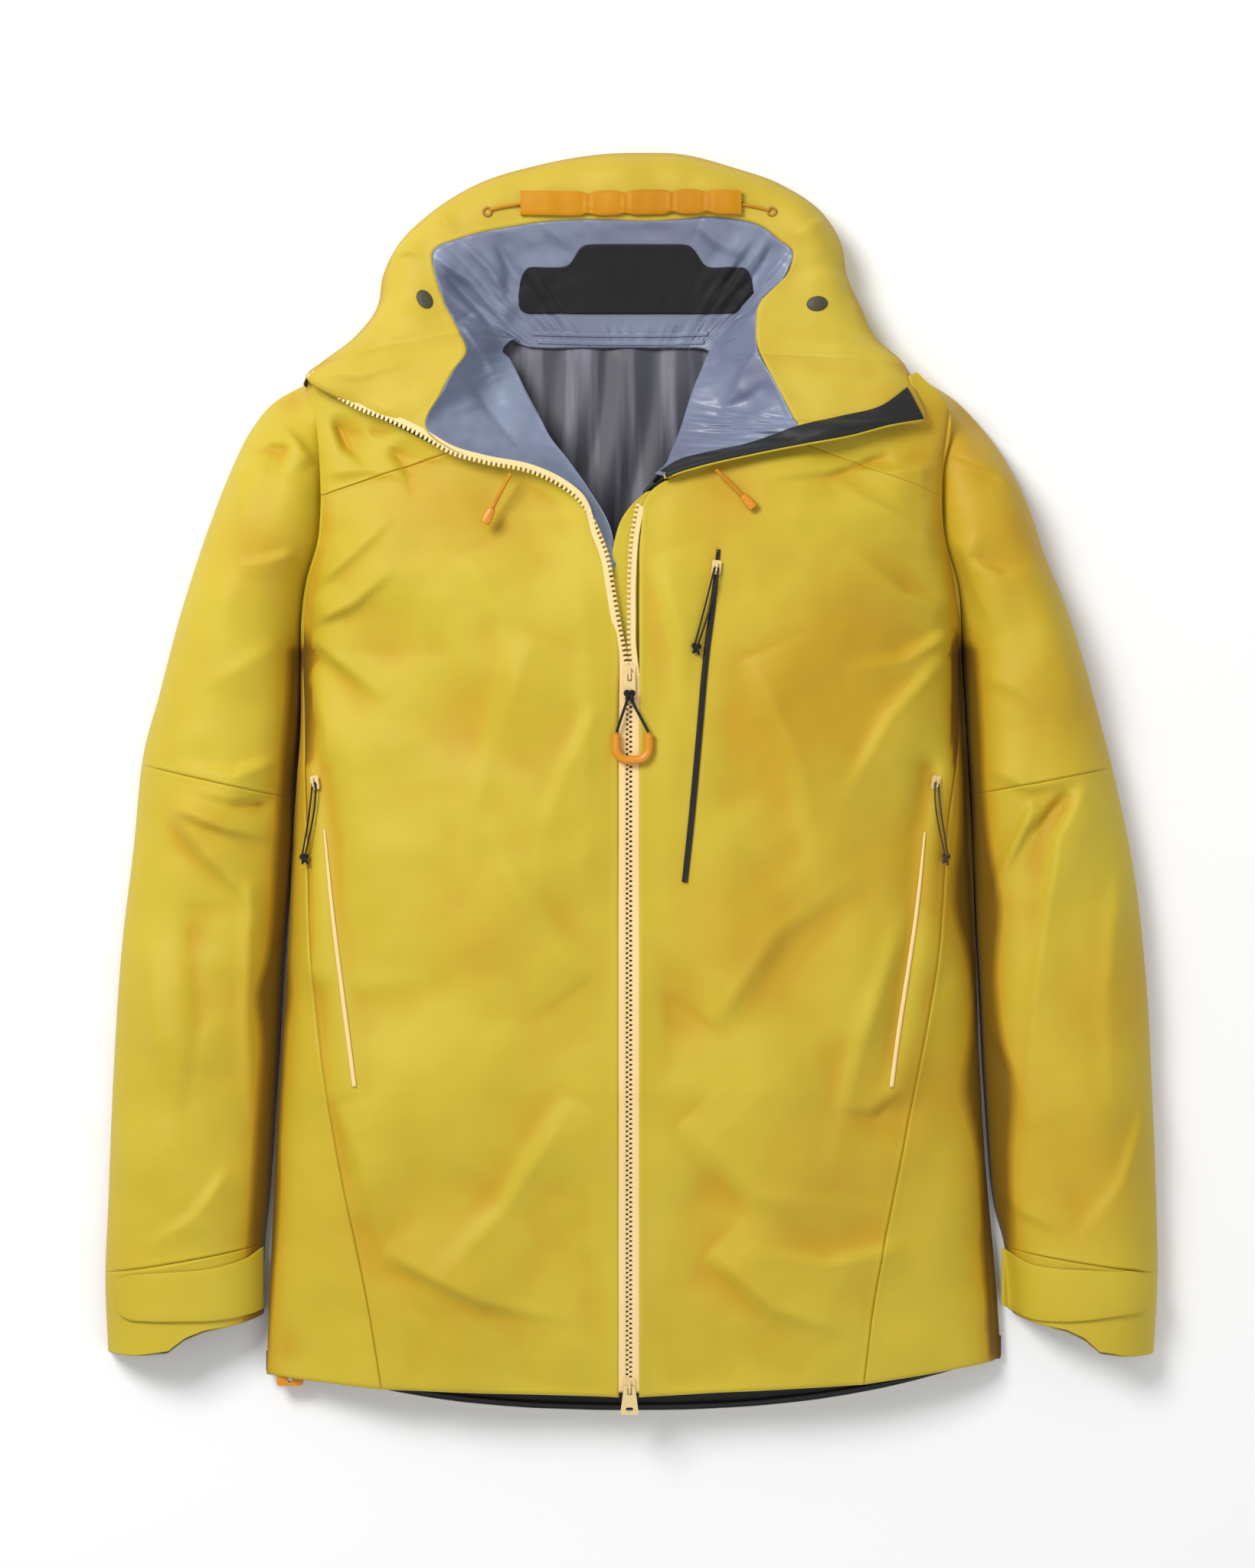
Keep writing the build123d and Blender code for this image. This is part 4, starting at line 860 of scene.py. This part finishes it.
def knot(name, centre, across, ahead, out, size, mat, tails=1.0):
    """An overhand knot with two short tails; size is its half width in millimetres."""
    turn = np.linspace(0, 2 * np.pi, 61)[:-1]
    loop = np.column_stack([np.sin(turn) + 2 * np.sin(2 * turn), np.cos(turn) - 2 * np.cos(2 * turn),
                            -np.sin(3 * turn) * 0.9]) / 3 * size
    axes = np.array([across, ahead, out])
    paths = [(np.array(centre) + loop @ axes, True)]
    for shift in (-0.45, 0.5):
        tail = np.array([(shift * 0.4, 0.2, 0.2), (shift, -0.8, 0.15), (shift * 1.5, -1.6 - 0.3 * shift, 0)])
        tail = smooth_rows(tail, 7)
        paths.append((np.array(centre) + (tail * (size, size * tails, size)) @ axes, False))
    return tubes(name, paths, size * 0.33, mat)


def add_cord(name, points, diameter, mat, body_name, node):
    """A cord: one NURBS spline through its control points, in millimetres."""
    data = bpy.data.curves.new(name, "CURVE")
    data.dimensions = "3D"
    data.bevel_depth = diameter * MM / 2
    data.bevel_resolution = 4
    data.use_fill_caps = True
    spline = data.splines.new("NURBS")
    spline.points.add(len(points) - 1)
    for control, place in zip(spline.points, points):
        control.co = (*(Vector(place) * MM), 1.0)
    spline.order_u = 3
    spline.use_endpoint_u = True
    spline.resolution_u = 10
    data.materials.append(mat)
    piece = bpy.data.objects.new(name, data)
    bpy.context.scene.collection.objects.link(piece)
    finish_piece(piece, body_name, [node])


# ------------------------------------------------------------------ main zip
# The undone part of each row of teeth, from the slider up along the folded collar.
OPEN_TEETH = {
    RIGHT: [(-2.2, 90, 94.2), (-4, 100, 94.8), (-6, 110, 95.2), (-9.5, 129, 95.6), (-13, 150, 96), (-16, 167, 96.4),
            (-21.5, 183, 96.6), (-29.5, 199.5, 97), (-40, 213, 97.6), (-53.5, 223, 97.4), (-71, 231, 96.8),
            (-108, 239, 95), (-132, 246, 92), (-156, 260, 88), (-181, 272, 82), (-205, 282, 75), (-221, 292, 69.5),
            (-240, 305.5, 64)],
    LEFT: [(1.2, 90, 94.2), (0, 100, 94.6), (-0.4, 125, 94.8), (-0.2, 153, 94.9), (2, 185, 94.8), (6, 207, 94.4)],
}
PITCH = 3.7  # from one tooth of a row to the next, mm
TOOTH_WIDE, FREE_WIDE = 3.7, 3.6  # width of a closed tooth and of a free one, mm
FIRST_TOOTH, LAST_TOOTH = -446.0, 87  # y of the closed teeth, mm
TAPE_WIDE, FREE_TAPE_WIDE = 5.4, 3.8  # width of a tape beside closed teeth and free ones, mm
TOOTH = [(-0.5, -0.4, 0), (0.5, -0.26, 0), (0.5, 0.26, 0), (-0.5, 0.4, 0), (-0.5, -0.4, 0.6), (0.5, -0.26, 0.6),
         (0.5, 0.26, 0.6), (-0.5, 0.4, 0.6), (-0.4, -0.26, 1), (0.42, -0.17, 1), (0.42, 0.17, 1), (-0.4, 0.26, 1)]
TWIST = (186, 212)  # the right collar's edge turns over between these heights, so its teeth point outwards above


def turned(side, y):
    """1 where the teeth point to the opening, -1 where the folded collar has turned them over."""
    if side == LEFT:
        return 1.0
    t = min(1.0, max(0.0, (y - TWIST[0]) / (TWIST[1] - TWIST[0])))
    return 1 - 2 * t * t * (3 - 2 * t)


TOOTH_FACES = [(3, 2, 1, 0), (8, 9, 10, 11)] + [(a + k, a + (k + 1) % 4, a + 4 + (k + 1) % 4, a + 4 + k)
                                                for a in (0, 4) for k in range(4)]


def add_teeth(side):
    """One row of moulded teeth, meshed with the other up to the slider and free above it."""
    word = SIDES[side]
    vertices, faces = [], []

    def tooth(place, ahead, aside, wide):
        up = aside.cross(ahead) * (-side)
        start = len(vertices)
        for a, b, c in TOOTH:
            vertices.append((place + aside * (a * wide) + ahead * (b * PITCH * 0.9) + up * (c * 1.5 - 0.6)) * MM)
        faces.extend(tuple(start + i for i in face) for face in TOOTH_FACES)

    y = FIRST_TOOTH + (PITCH / 2 if side == LEFT else 0)
    while y < LAST_TOOTH:
        slope = Vector((0, 1, (centre_height(y + 1) - centre_height(y - 1)) / 2)).normalized()
        tooth(Vector((-0.5 + side * 1.35, y, centre_height(y) - 0.6)), slope, Vector((-side, 0, 0)), TOOTH_WIDE)
        y += PITCH
    path = np.array(OPEN_TEETH[side], float)
    length = np.linalg.norm(np.diff(path, axis=0), axis=1).sum()
    path = smooth_rows(path, int(length / PITCH) + 1)
    for p, a in zip(path, np.gradient(path, axis=0)):
        ahead = Vector(a).normalized()
        aside = Vector((-side * ahead.y, side * ahead.x, 0)).normalized()
        if turned(side, p[1]) < 0:
            ahead, aside = -ahead, -aside
        tooth(Vector(p), ahead, aside, FREE_WIDE)
    piece = mesh_object(f"teeth_{word}", vertices, faces, TEETH, smooth=False)
    return finish_piece(piece, "shell", [f"main_zip_teeth_{word}"])


def add_tape(side):
    """The tape that carries one row of teeth, closed and open parts in one strip."""
    word = SIDES[side]
    closed = [(side * 5.1 - 0.35, y, centre_height(y) - 0.7)
              for y in (-458, -448, -400, -300, -242, -236, -230, -224, -218, -150, -50, 40, 80)]
    open_part = []
    path = smooth_rows(OPEN_TEETH[side], 40)
    for p, a in zip(path[2:], np.gradient(path, axis=0)[2:]):
        aside = Vector((side * a[1], -side * a[0], 0)).normalized() * turned(side, p[1])
        open_part.append(tuple(Vector(p) + aside * 3.2 + Vector((0, 0, -0.7))))
    widths = [TAPE_WIDE] * len(closed) + [FREE_TAPE_WIDE] * len(open_part)
    piece = ribbon(f"tape_{word}", closed + open_part, widths, TAPE, lift=0.3, thickness=0.8, crown=0.15)
    return finish_piece(piece, "shell", [f"main_zip_tape_{word}"])


FLAP = [((-13, -440), (18, -440), 9), ((-14, -230), (18, -230), 9), ((-13, 40), (18, 40), 9), ((-5, 88), (13, 88), 6),
        ((-8, 110), (12, 110), 4.5), ((-11.5, 135), (11, 135), 4), ((-14, 155), (11, 155), 3.5),
        ((-13.5, 168), (12, 170), 3), ((-11, 182), (14, 188), 2.5), ((-6.5, 196), (17, 202), 2),
        ((2, 208), (24, 214), 1.5), ((12, 217), (34, 222), 1.5)]


def add_storm_flap():
    """The flap behind the zip, with a folded edge."""
    rows = smooth_rows([(*a, *b, under) for a, b, under in FLAP], 160)
    s = np.array([0, 0.02, 0.05, 0.1, 0.2, 0.32, 0.46, 0.6, 0.74, 0.87, 1.0])[None, :, None]
    flat = between(rows[:, None, :2], rows[:, None, 2:4], s)
    z = dome(flat[..., 0], flat[..., 1]) - rows[:, None, 4]
    z = z + np.interp(s[..., 0], [0, 0.02, 0.05, 0.1, 0.2, 1], [-1.2, 0.2, 0.7, 0.6, 0.2, 0])
    piece = thicken(grid_object("storm_flap_cloth", np.dstack([flat, z]), FACE), 0.9)
    return finish_piece(piece, "shell", ["storm_flap"])


for side in SIDES:
    add_teeth(side)
    add_tape(side)
storm_flap_piece = add_storm_flap()

GUARD_LOW = [(9, 215.5), (22.5, 225), (36, 231), (49, 235), (91, 245), (125, 252), (162, 259), (199, 269), (220, 273)]
GUARD_HIGH = [(11, 219), (25, 234), (38, 242), (58, 247), (88, 253.5), (122, 265), (158, 274), (188, 282), (208, 297)]


def add_chin_guard():
    """The soft dark strip along the edge of the left flap, and the piping below it."""
    low, high = smooth_rows(GUARD_LOW, 110), smooth_rows(GUARD_HIGH, 110)
    s = np.array([0, 0.04, 0.12, 0.25, 0.4, 0.55, 0.7, 0.84, 0.95, 1.0])[None, :, None]
    flat = between(low[:, None], high[:, None], s)
    z = soften(bowl_top(flat[..., 0], flat[..., 1]), [1, 2, 3, 2, 1]) + 0.5 + 0.9 * np.sin(np.pi * s[..., 0]) ** 0.5
    piece = thicken(grid_object("chin_strip", np.dstack([flat, z]), BLACK), 0.8)
    finish_piece(piece, "shell", ["chin_guard"])
    edge = smooth_rows(GUARD_LOW, 90)
    z = soften(bowl_top(edge[:, 0], edge[:, 1] + 0.5), [1, 2, 3, 2, 1])
    path = np.column_stack([edge[:, 0], edge[:, 1] - 0.8, z + 0.5])
    finish_piece(tubes("collar_piping", [(path, False)], 0.9, FACE), "shell")


add_chin_guard()


# ------------------------------------------------------------------ pulls and cords
# Half the gap between the two legs of a pull's cord, mm, and the share of its length down from the slider.
SPREAD = [(1.3, 1.0), (1.9, 0.66), (2.2, 0.36), (1.9, 0.14), (1.6, 0.05), (1.4, 0.002)]
PULLS = {  # the reach and the lean of a pull, mm, its cord's whole length, m, its material and its slot
    "chest": (58, -9, 0.1191, BLACK_CORD, "black_cord"), "hand_right": (52, -16, 0.1109, BLACK_CORD, "black_cord"),
    "hand_left": (52, 16, 0.1109, BROWN_CORD, "brown_cord"),
}


def add_pocket_zip(name):
    """A pocket's coil zip, with the doubled cord and knot that pull its slider."""
    side, line = POCKET_LINES[name]
    if name == "chest":
        piece = ribbon("chest_coil", line, [1.6, 3.2, 3.5, 3.6, 3.6, 3.4], BLACK_ZIP, front_top, 0.5, 0.8, 0.9, 8)
    else:
        piece = ribbon(f"{name}_coil", line[1:], [0.6, 2.2, 2.5, 2.6, 2.6], TAPE, front_top, 0.35, 0.6, 0.5, 6)
    finish_piece(piece, "shell", [f"{name}_zip"])
    own = POCKETS[name]
    long, lean, length, cloth, slot = PULLS[name]
    down = [(lean * d**1.4 + w, -d * long, own.axis) for w, d in SPREAD]
    back = [(lean * d**1.4 - w, -d * long, own.axis) for w, d in reversed(SPREAD)]
    lump = knot(f"{name}_knot", own.at(lean, -long - 2.6, own.axis), own.x, own.y, own.z, 3.1, cloth)
    finish_piece(lump, f"{name}_pull", [f"{name}_pull_knot"])
    add_cord(f"{name}_cord", [own.at(*p) for p in down + back], 1.4, cloth, f"{name}_pull", f"{name}_pull_cord")


for name in POCKETS:
    add_pocket_zip(name)


def add_main_pull():
    """The cord loop from the main slider's tab to the orange grip, with its knot."""
    height = MAIN.axis + 2.0
    legs = [(-9.6, -43.4), (-6, -32), (-2.4, -22), (-1.6, -18.1), (1.6, -18.1), (2.6, -22), (8, -32), (14, -43.4)]
    lump = knot("main_knot", MAIN.at(0, -15.5, MAIN.axis + 4.2), MAIN.x, MAIN.y, MAIN.z, 3.6, BLACK_CORD, 0.6)
    finish_piece(lump, "main_pull", ["main_pull_knot"])
    add_cord("main_cord", [MAIN.at(x, y, height) for x, y in legs], 2.2, BLACK_CORD, "main_pull", "main_pull_cord")


add_main_pull()

for side, route, length in ((RIGHT, [(-88, 230, 98), (-95, 218, 97.5), (-106, 196, 96.2)], 0.0385),
                            (LEFT, [(64, 233, 98.2), (76, 222, 97.6), (90, 207, 96.8)], 0.0368)):
    end, before = Vector(route[-1]), Vector(route[-2])
    along = (end - before).normalized()
    path = [tuple(end + along * d) for d in (-9, -4, 0.5, 3)]
    tip = ribbon(f"collar_tip_{SIDES[side]}", path, [2.6, 4.6, 5.4, 3.6], ORANGE, None, 1.2, 2.2, 0.9, step=1.0)
    finish_piece(tip, "shell")
    add_cord(f"collar_cord_{SIDES[side]}_line", route, 3.0, ORANGE_CORD, "shell", f"collar_cord_{SIDES[side]}")

HEM_ROUTE = [(-255, -441, 6), (-245, -447.5, 6), (-120, -470.5, 6), (0, -475, 6), (120, -470.5, 6), (245, -447.5, 6),
             (255, -441, 6)]
add_cord("hem_elastic", HEM_ROUTE, 2.6, BLACK_CORD, "shell", "hem_drawcord")


# ------------------------------------------------------------------ hood trims
GATHERS = (-31.0, -3.0, 32.0, 58.0)  # x of the gathers of the brim's channel, mm
EYELET_X, EYELET_Y, EYELET_SIZE = 107.0, 430.5, 3.0  # place and radius of the brim's eyelets, mm


def add_brim():
    """The gathered channel on the brim with its elastic and two eyelets."""
    x = np.linspace(-82, 84, 167)
    y = 437 - 0.6 * np.sin((x + 82) / 166 * np.pi * 2)
    near = np.array([np.exp(-(((x - g) / 4.5) ** 2)) for g in GATHERS]).max(axis=0)
    folds = 0.8 * np.sin(x * 1.1) * near + 0.35 * np.sin(x * 0.42 + 1.0)
    turn = np.linspace(0, 2 * np.pi, 29)[:-1]
    half = 9.4 - 1.8 * near
    up, along_y = np.sin(turn), np.cos(turn)
    tall = 2.4 - 0.5 * near + folds * 0.5
    base = bowl_top(x, y) + 2.2
    ys = y[:, None] + half[:, None] * np.sign(along_y) * np.abs(along_y) ** 0.7
    zs = base[:, None] + tall[:, None] * np.sign(up) * np.abs(up) ** 0.8
    zs = zs + (0.5 * np.sin(ys * 1.5 + x[:, None] * 0.25) * near[:, None]) * (up > 0)
    points = np.dstack([np.repeat(x[:, None], len(turn), 1), ys, zs])
    piece = grid_object("brim_tunnel", points, ORANGE_CLOTH, closed=True, flip=True)
    finish_piece(piece, "hood", ["brim_channel"])
    rings = []
    for side in SIDES:
        spot = np.array([side * EYELET_X, EYELET_Y, float(bowl_top(side * EYELET_X, EYELET_Y)[0]) + 0.7])
        ring = [spot + (EYELET_SIZE * math.cos(t), EYELET_SIZE * math.sin(t), 0.25 * math.cos(t)) for t in turn]
        rings.append((ring, True))
    eyelets = tubes("eyelets", rings, 0.9, EYELET)
    finish_piece(eyelets, "hood", ["brim_eyelets"])
    level = [float(bowl_top(v, w)[0]) for v, w in ((-105, 431.5), (-88, 437), (88, 437), (105, 431.5))]
    route = [(-105, 431.5, level[0] + 1.6), (-88, 437, level[1] + 2.4), (-40, 437.5, float(base[42])),
             (0, 437.3, float(base[82])), (40, 436.6, float(base[122])), (88, 437, level[2] + 2.4),
             (105, 431.5, level[3] + 1.6)]
    add_cord("brim_cord", route, 2.2, ORANGE_CORD, "hood", "brim_elastic")


add_brim()


def add_patch():
    """The plain dark patch at the back of the neck, wider below than above."""
    x = np.linspace(-84, 94, 120)
    shoulder = 1 / (1 + np.exp(-(x + 41) / 2.6)) * 1 / (1 + np.exp((x - 52) / 2.6))
    ends = np.sqrt(np.clip(1 - ((np.abs(x - 5) - 79) / 10).clip(0, 1) ** 2, 0, 1))
    top = 372 + (391 - 372) * ends + 16.5 * shoulder
    low = 357.5 + 6 * (1 - ends)
    s = np.linspace(0, 1, 30)
    y = between(low[:, None], top[:, None], s)
    xs = np.repeat(x[:, None], len(s), 1) - 9 * (1 - s[None]) * ((x[:, None] - 40) / 54).clip(0, 1)
    z = bowl_top(xs, y) + 0.55
    piece = thicken(grid_object("neck_patch", np.dstack([xs, y, z]), PATCH), 0.5)
    finish_piece(piece, "hood", ["label_patch"])
    for i, (place, half, lean) in enumerate((((-154, 364), (5.2, 7.4), 0.5), ((141, 361), (7.6, 5.2), 0.15))):
        r, t = np.meshgrid(np.linspace(0, 1, 8), np.linspace(0, 2 * np.pi, 41)[:-1], indexing="ij")
        px = place[0] + r * (half[0] * np.cos(t) * np.cos(lean) - half[1] * np.sin(t) * np.sin(lean))
        py = place[1] + r * (half[0] * np.cos(t) * np.sin(lean) + half[1] * np.sin(t) * np.cos(lean))
        z = bowl_top(px, py) + 0.9 - 0.7 * r**6 - 0.25 * np.exp(-((r - 0.72) / 0.1) ** 2)
        pad = thicken(grid_object(f"cord_lock_{i}", np.dstack([px, py, z]), LOCK, closed=True), 0.8)
        finish_piece(pad, "hood", ["cord_lock_pads"] if i == 0 else [])


add_patch()

for i, y in enumerate((342.5, 336.5)):
    path = [(-74 + i * 4, y + 1), (-40, y), (0, y - 0.4), (40, y), (60 - i * 3, y + 0.6)]
    seam_tape = ribbon(f"neck_tape_{i}", path, 3.4, LINING, bowl_top, 0.35, 0.4, 0.2)
    finish_piece(seam_tape, "shell", ["hang_loop"] if i else [])


# ------------------------------------------------------------------ cuff straps
STRAPS = {
    RIGHT: [((-279, -351.5), (-279, -399)), ((-288, -357.5), (-288, -401)), ((-300, -361.5), (-300, -403)),
            ((-316, -365), (-316, -404.3)), ((-340, -367.2), (-340, -404.5)), ((-365, -369.3), (-365, -404.6)),
            ((-379, -371.5), (-379, -403.6)), ((-385.5, -376), (-385.5, -400)), ((-388, -383), (-388, -393))],
    LEFT: [((283, -352), (283, -396)), ((291, -356.5), (291, -400)), ((301, -361.5), (301, -403.5)),
           ((322, -365), (322, -405)), ((345, -366), (345, -403.5)), ((367, -367), (367, -400.5)),
           ((383, -369), (383, -398.8)), ((392, -373), (392, -396)), ((395, -379), (395, -391))],
}


def add_strap(side):
    """The strap round the cuff, sewn on its inner half and free on its outer half."""
    word = SIDES[side]
    rows = smooth_rows([(*top, *low) for top, low in STRAPS[side]], 70)
    s = np.array([0, 0.02, 0.05, 0.1, 0.2, 0.35, 0.5, 0.65, 0.8, 0.9, 0.95, 0.98, 1.0])[None, :, None]
    flat = between(rows[:, None, :2], rows[:, None, 2:4], s)
    z = soften(sleeve_top(flat[..., 0], flat[..., 1]), [1, 2, 3, 4, 3, 2, 1])
    z = z + 1.9 - 0.6 * np.abs(2 * s[..., 0] - 1) ** 8
    piece = thicken(grid_object(f"cuff_strap_{word}", np.dstack([flat, z]), FACE, flip=side == LEFT), 1.3)
    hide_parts(f"cuff_tab_{word}")
    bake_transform(piece)


for side in SIDES:
    add_strap(side)


# ------------------------------------------------------------------ pocket bags, inside the body
def add_pouch(name, low_x, high_x, low_y, high_y, level, mouth, nodes):
    """A slack pouch of lining cloth, open at the side that mouth points to."""
    turn = np.linspace(0.12 * np.pi, 1.88 * np.pi, 40)
    ys = np.linspace(low_y + 1.5, high_y - 1.5, 60)
    middle, half = (low_x + high_x) / 2, (high_x - low_x) / 2
    close = np.minimum(1, np.minimum(ys - low_y, high_y - ys) / 12)
    x = middle + mouth * half * np.cos(turn)[None] * np.ones_like(ys)[:, None]
    z = level + 4.4 + 3.6 * np.sin(turn)[None] * close[:, None] + 0.6 * np.sin(x / 9 + ys[:, None] / 13)
    points = np.dstack([x, np.repeat(ys[:, None], len(turn), 1), z])
    piece = thicken(grid_object(name, points, LINING), 0.5)
    finish_piece(piece, "shell", nodes)


add_pouch("chest_pouch", 70, 150, -70, 140, 60, -1, ["chest_pocket_bag"])
add_pouch("hand_pouch_left", 90, 190, -245, -20, 38, 1, ["hand_pocket_bags"])
add_pouch("hand_pouch_right", -190, -90, -245, -20, 38, -1, [])


# ------------------------------------------------------------------ camera, light and floor
CAMERA_UP, FRAMED_LEVEL, VIEW_TALL = 3.25, 0.028, 1.188  # the camera's height, and the level it frames, metres
SENSOR = 36.0  # mm


def add_stage():
    """White ground, a key light and a fill light, and the photo's view from above."""
    world = bpy.data.worlds.new("studio")
    bpy.context.scene.world = world
    world.use_nodes = True
    world.node_tree.nodes["Background"].inputs["Color"].default_value = (1, 1, 1, 1)
    world.node_tree.nodes["Background"].inputs["Strength"].default_value = 0.47
    floor_mat, _, shader = material("floor", 0.9)
    shader.inputs["Base Color"].default_value = (0.93, 0.93, 0.93, 1)
    floor = mesh_object("floor", [(-6, -6, -0.0005), (6, -6, -0.0005), (6, 6, -0.0005), (-6, 6, -0.0005)],
                        [(0, 1, 2, 3)], floor_mat)
    for name, place, size, power in (("key", (-1.3, 1.35, 2.2), 1.1, 66), ("fill", (1.3, -1.6, 2.2), 2.2, 17)):
        light = bpy.data.lights.new(name, "AREA")
        light.energy, light.size = power, size
        lamp = bpy.data.objects.new(name, light)
        lamp.location = place
        lamp.rotation_euler = (Vector((0, 0, 0)) - Vector(place)).to_track_quat("-Z", "Y").to_euler()
        bpy.context.scene.collection.objects.link(lamp)
    camera = bpy.data.cameras.new("camera")
    camera.sensor_fit, camera.sensor_height, camera.sensor_width = "VERTICAL", SENSOR, SENSOR
    camera.clip_end = 20
    camera.lens = SENSOR * (CAMERA_UP - FRAMED_LEVEL) / VIEW_TALL
    view = bpy.data.objects.new("camera", camera)
    view.location = (-0.0015, 0.0, CAMERA_UP)
    bpy.context.scene.collection.objects.link(view)
    bpy.context.scene.camera = view
    bpy.context.scene.view_settings.view_transform = "Standard"


add_stage()

# ------------------------------------------------------------------ finish
NODE_LOOKS = [
    (LINING, "collar_right collar_left chest_pocket_bag hand_pocket_bags"),
    (DARK, "hem_facing"),
    (BLACK, "chin_guard label_patch hang_loop cord_lock_pads"),
    (TAPE, "main_zip_tape_right main_zip_tape_left"),
    (TEETH, "main_zip_teeth_right main_zip_teeth_left hand_right_zip hand_left_zip"),
    (BLACK_ZIP, "chest_zip"),
    (CREAM, "main_slider main_puller bottom_slider bottom_puller chest_slider hand_right_slider hand_left_slider"),
    (ORANGE, "main_grip hem_toggle"),
    (ORANGE_CLOTH, "brim_channel"),
    (ORANGE_CORD, "collar_cord_right collar_cord_left"),
    (BLACK_CORD, "main_pull_cord main_pull_knot chest_pull_cord chest_pull_knot hand_right_pull_cord"),
    (BLACK_CORD, "hand_right_pull_knot brim_elastic hem_drawcord"),
    (BROWN_CORD, "hand_left_pull_cord hand_left_pull_knot"),
    (EYELET, "brim_eyelets"),
]
looks = {name: mat for mat, names in NODE_LOOKS for name in names.split()}
for name, part in frame["nodes"].items():
    part.data.materials.clear()
    part.data.materials.append(looks.get(name, FACE))
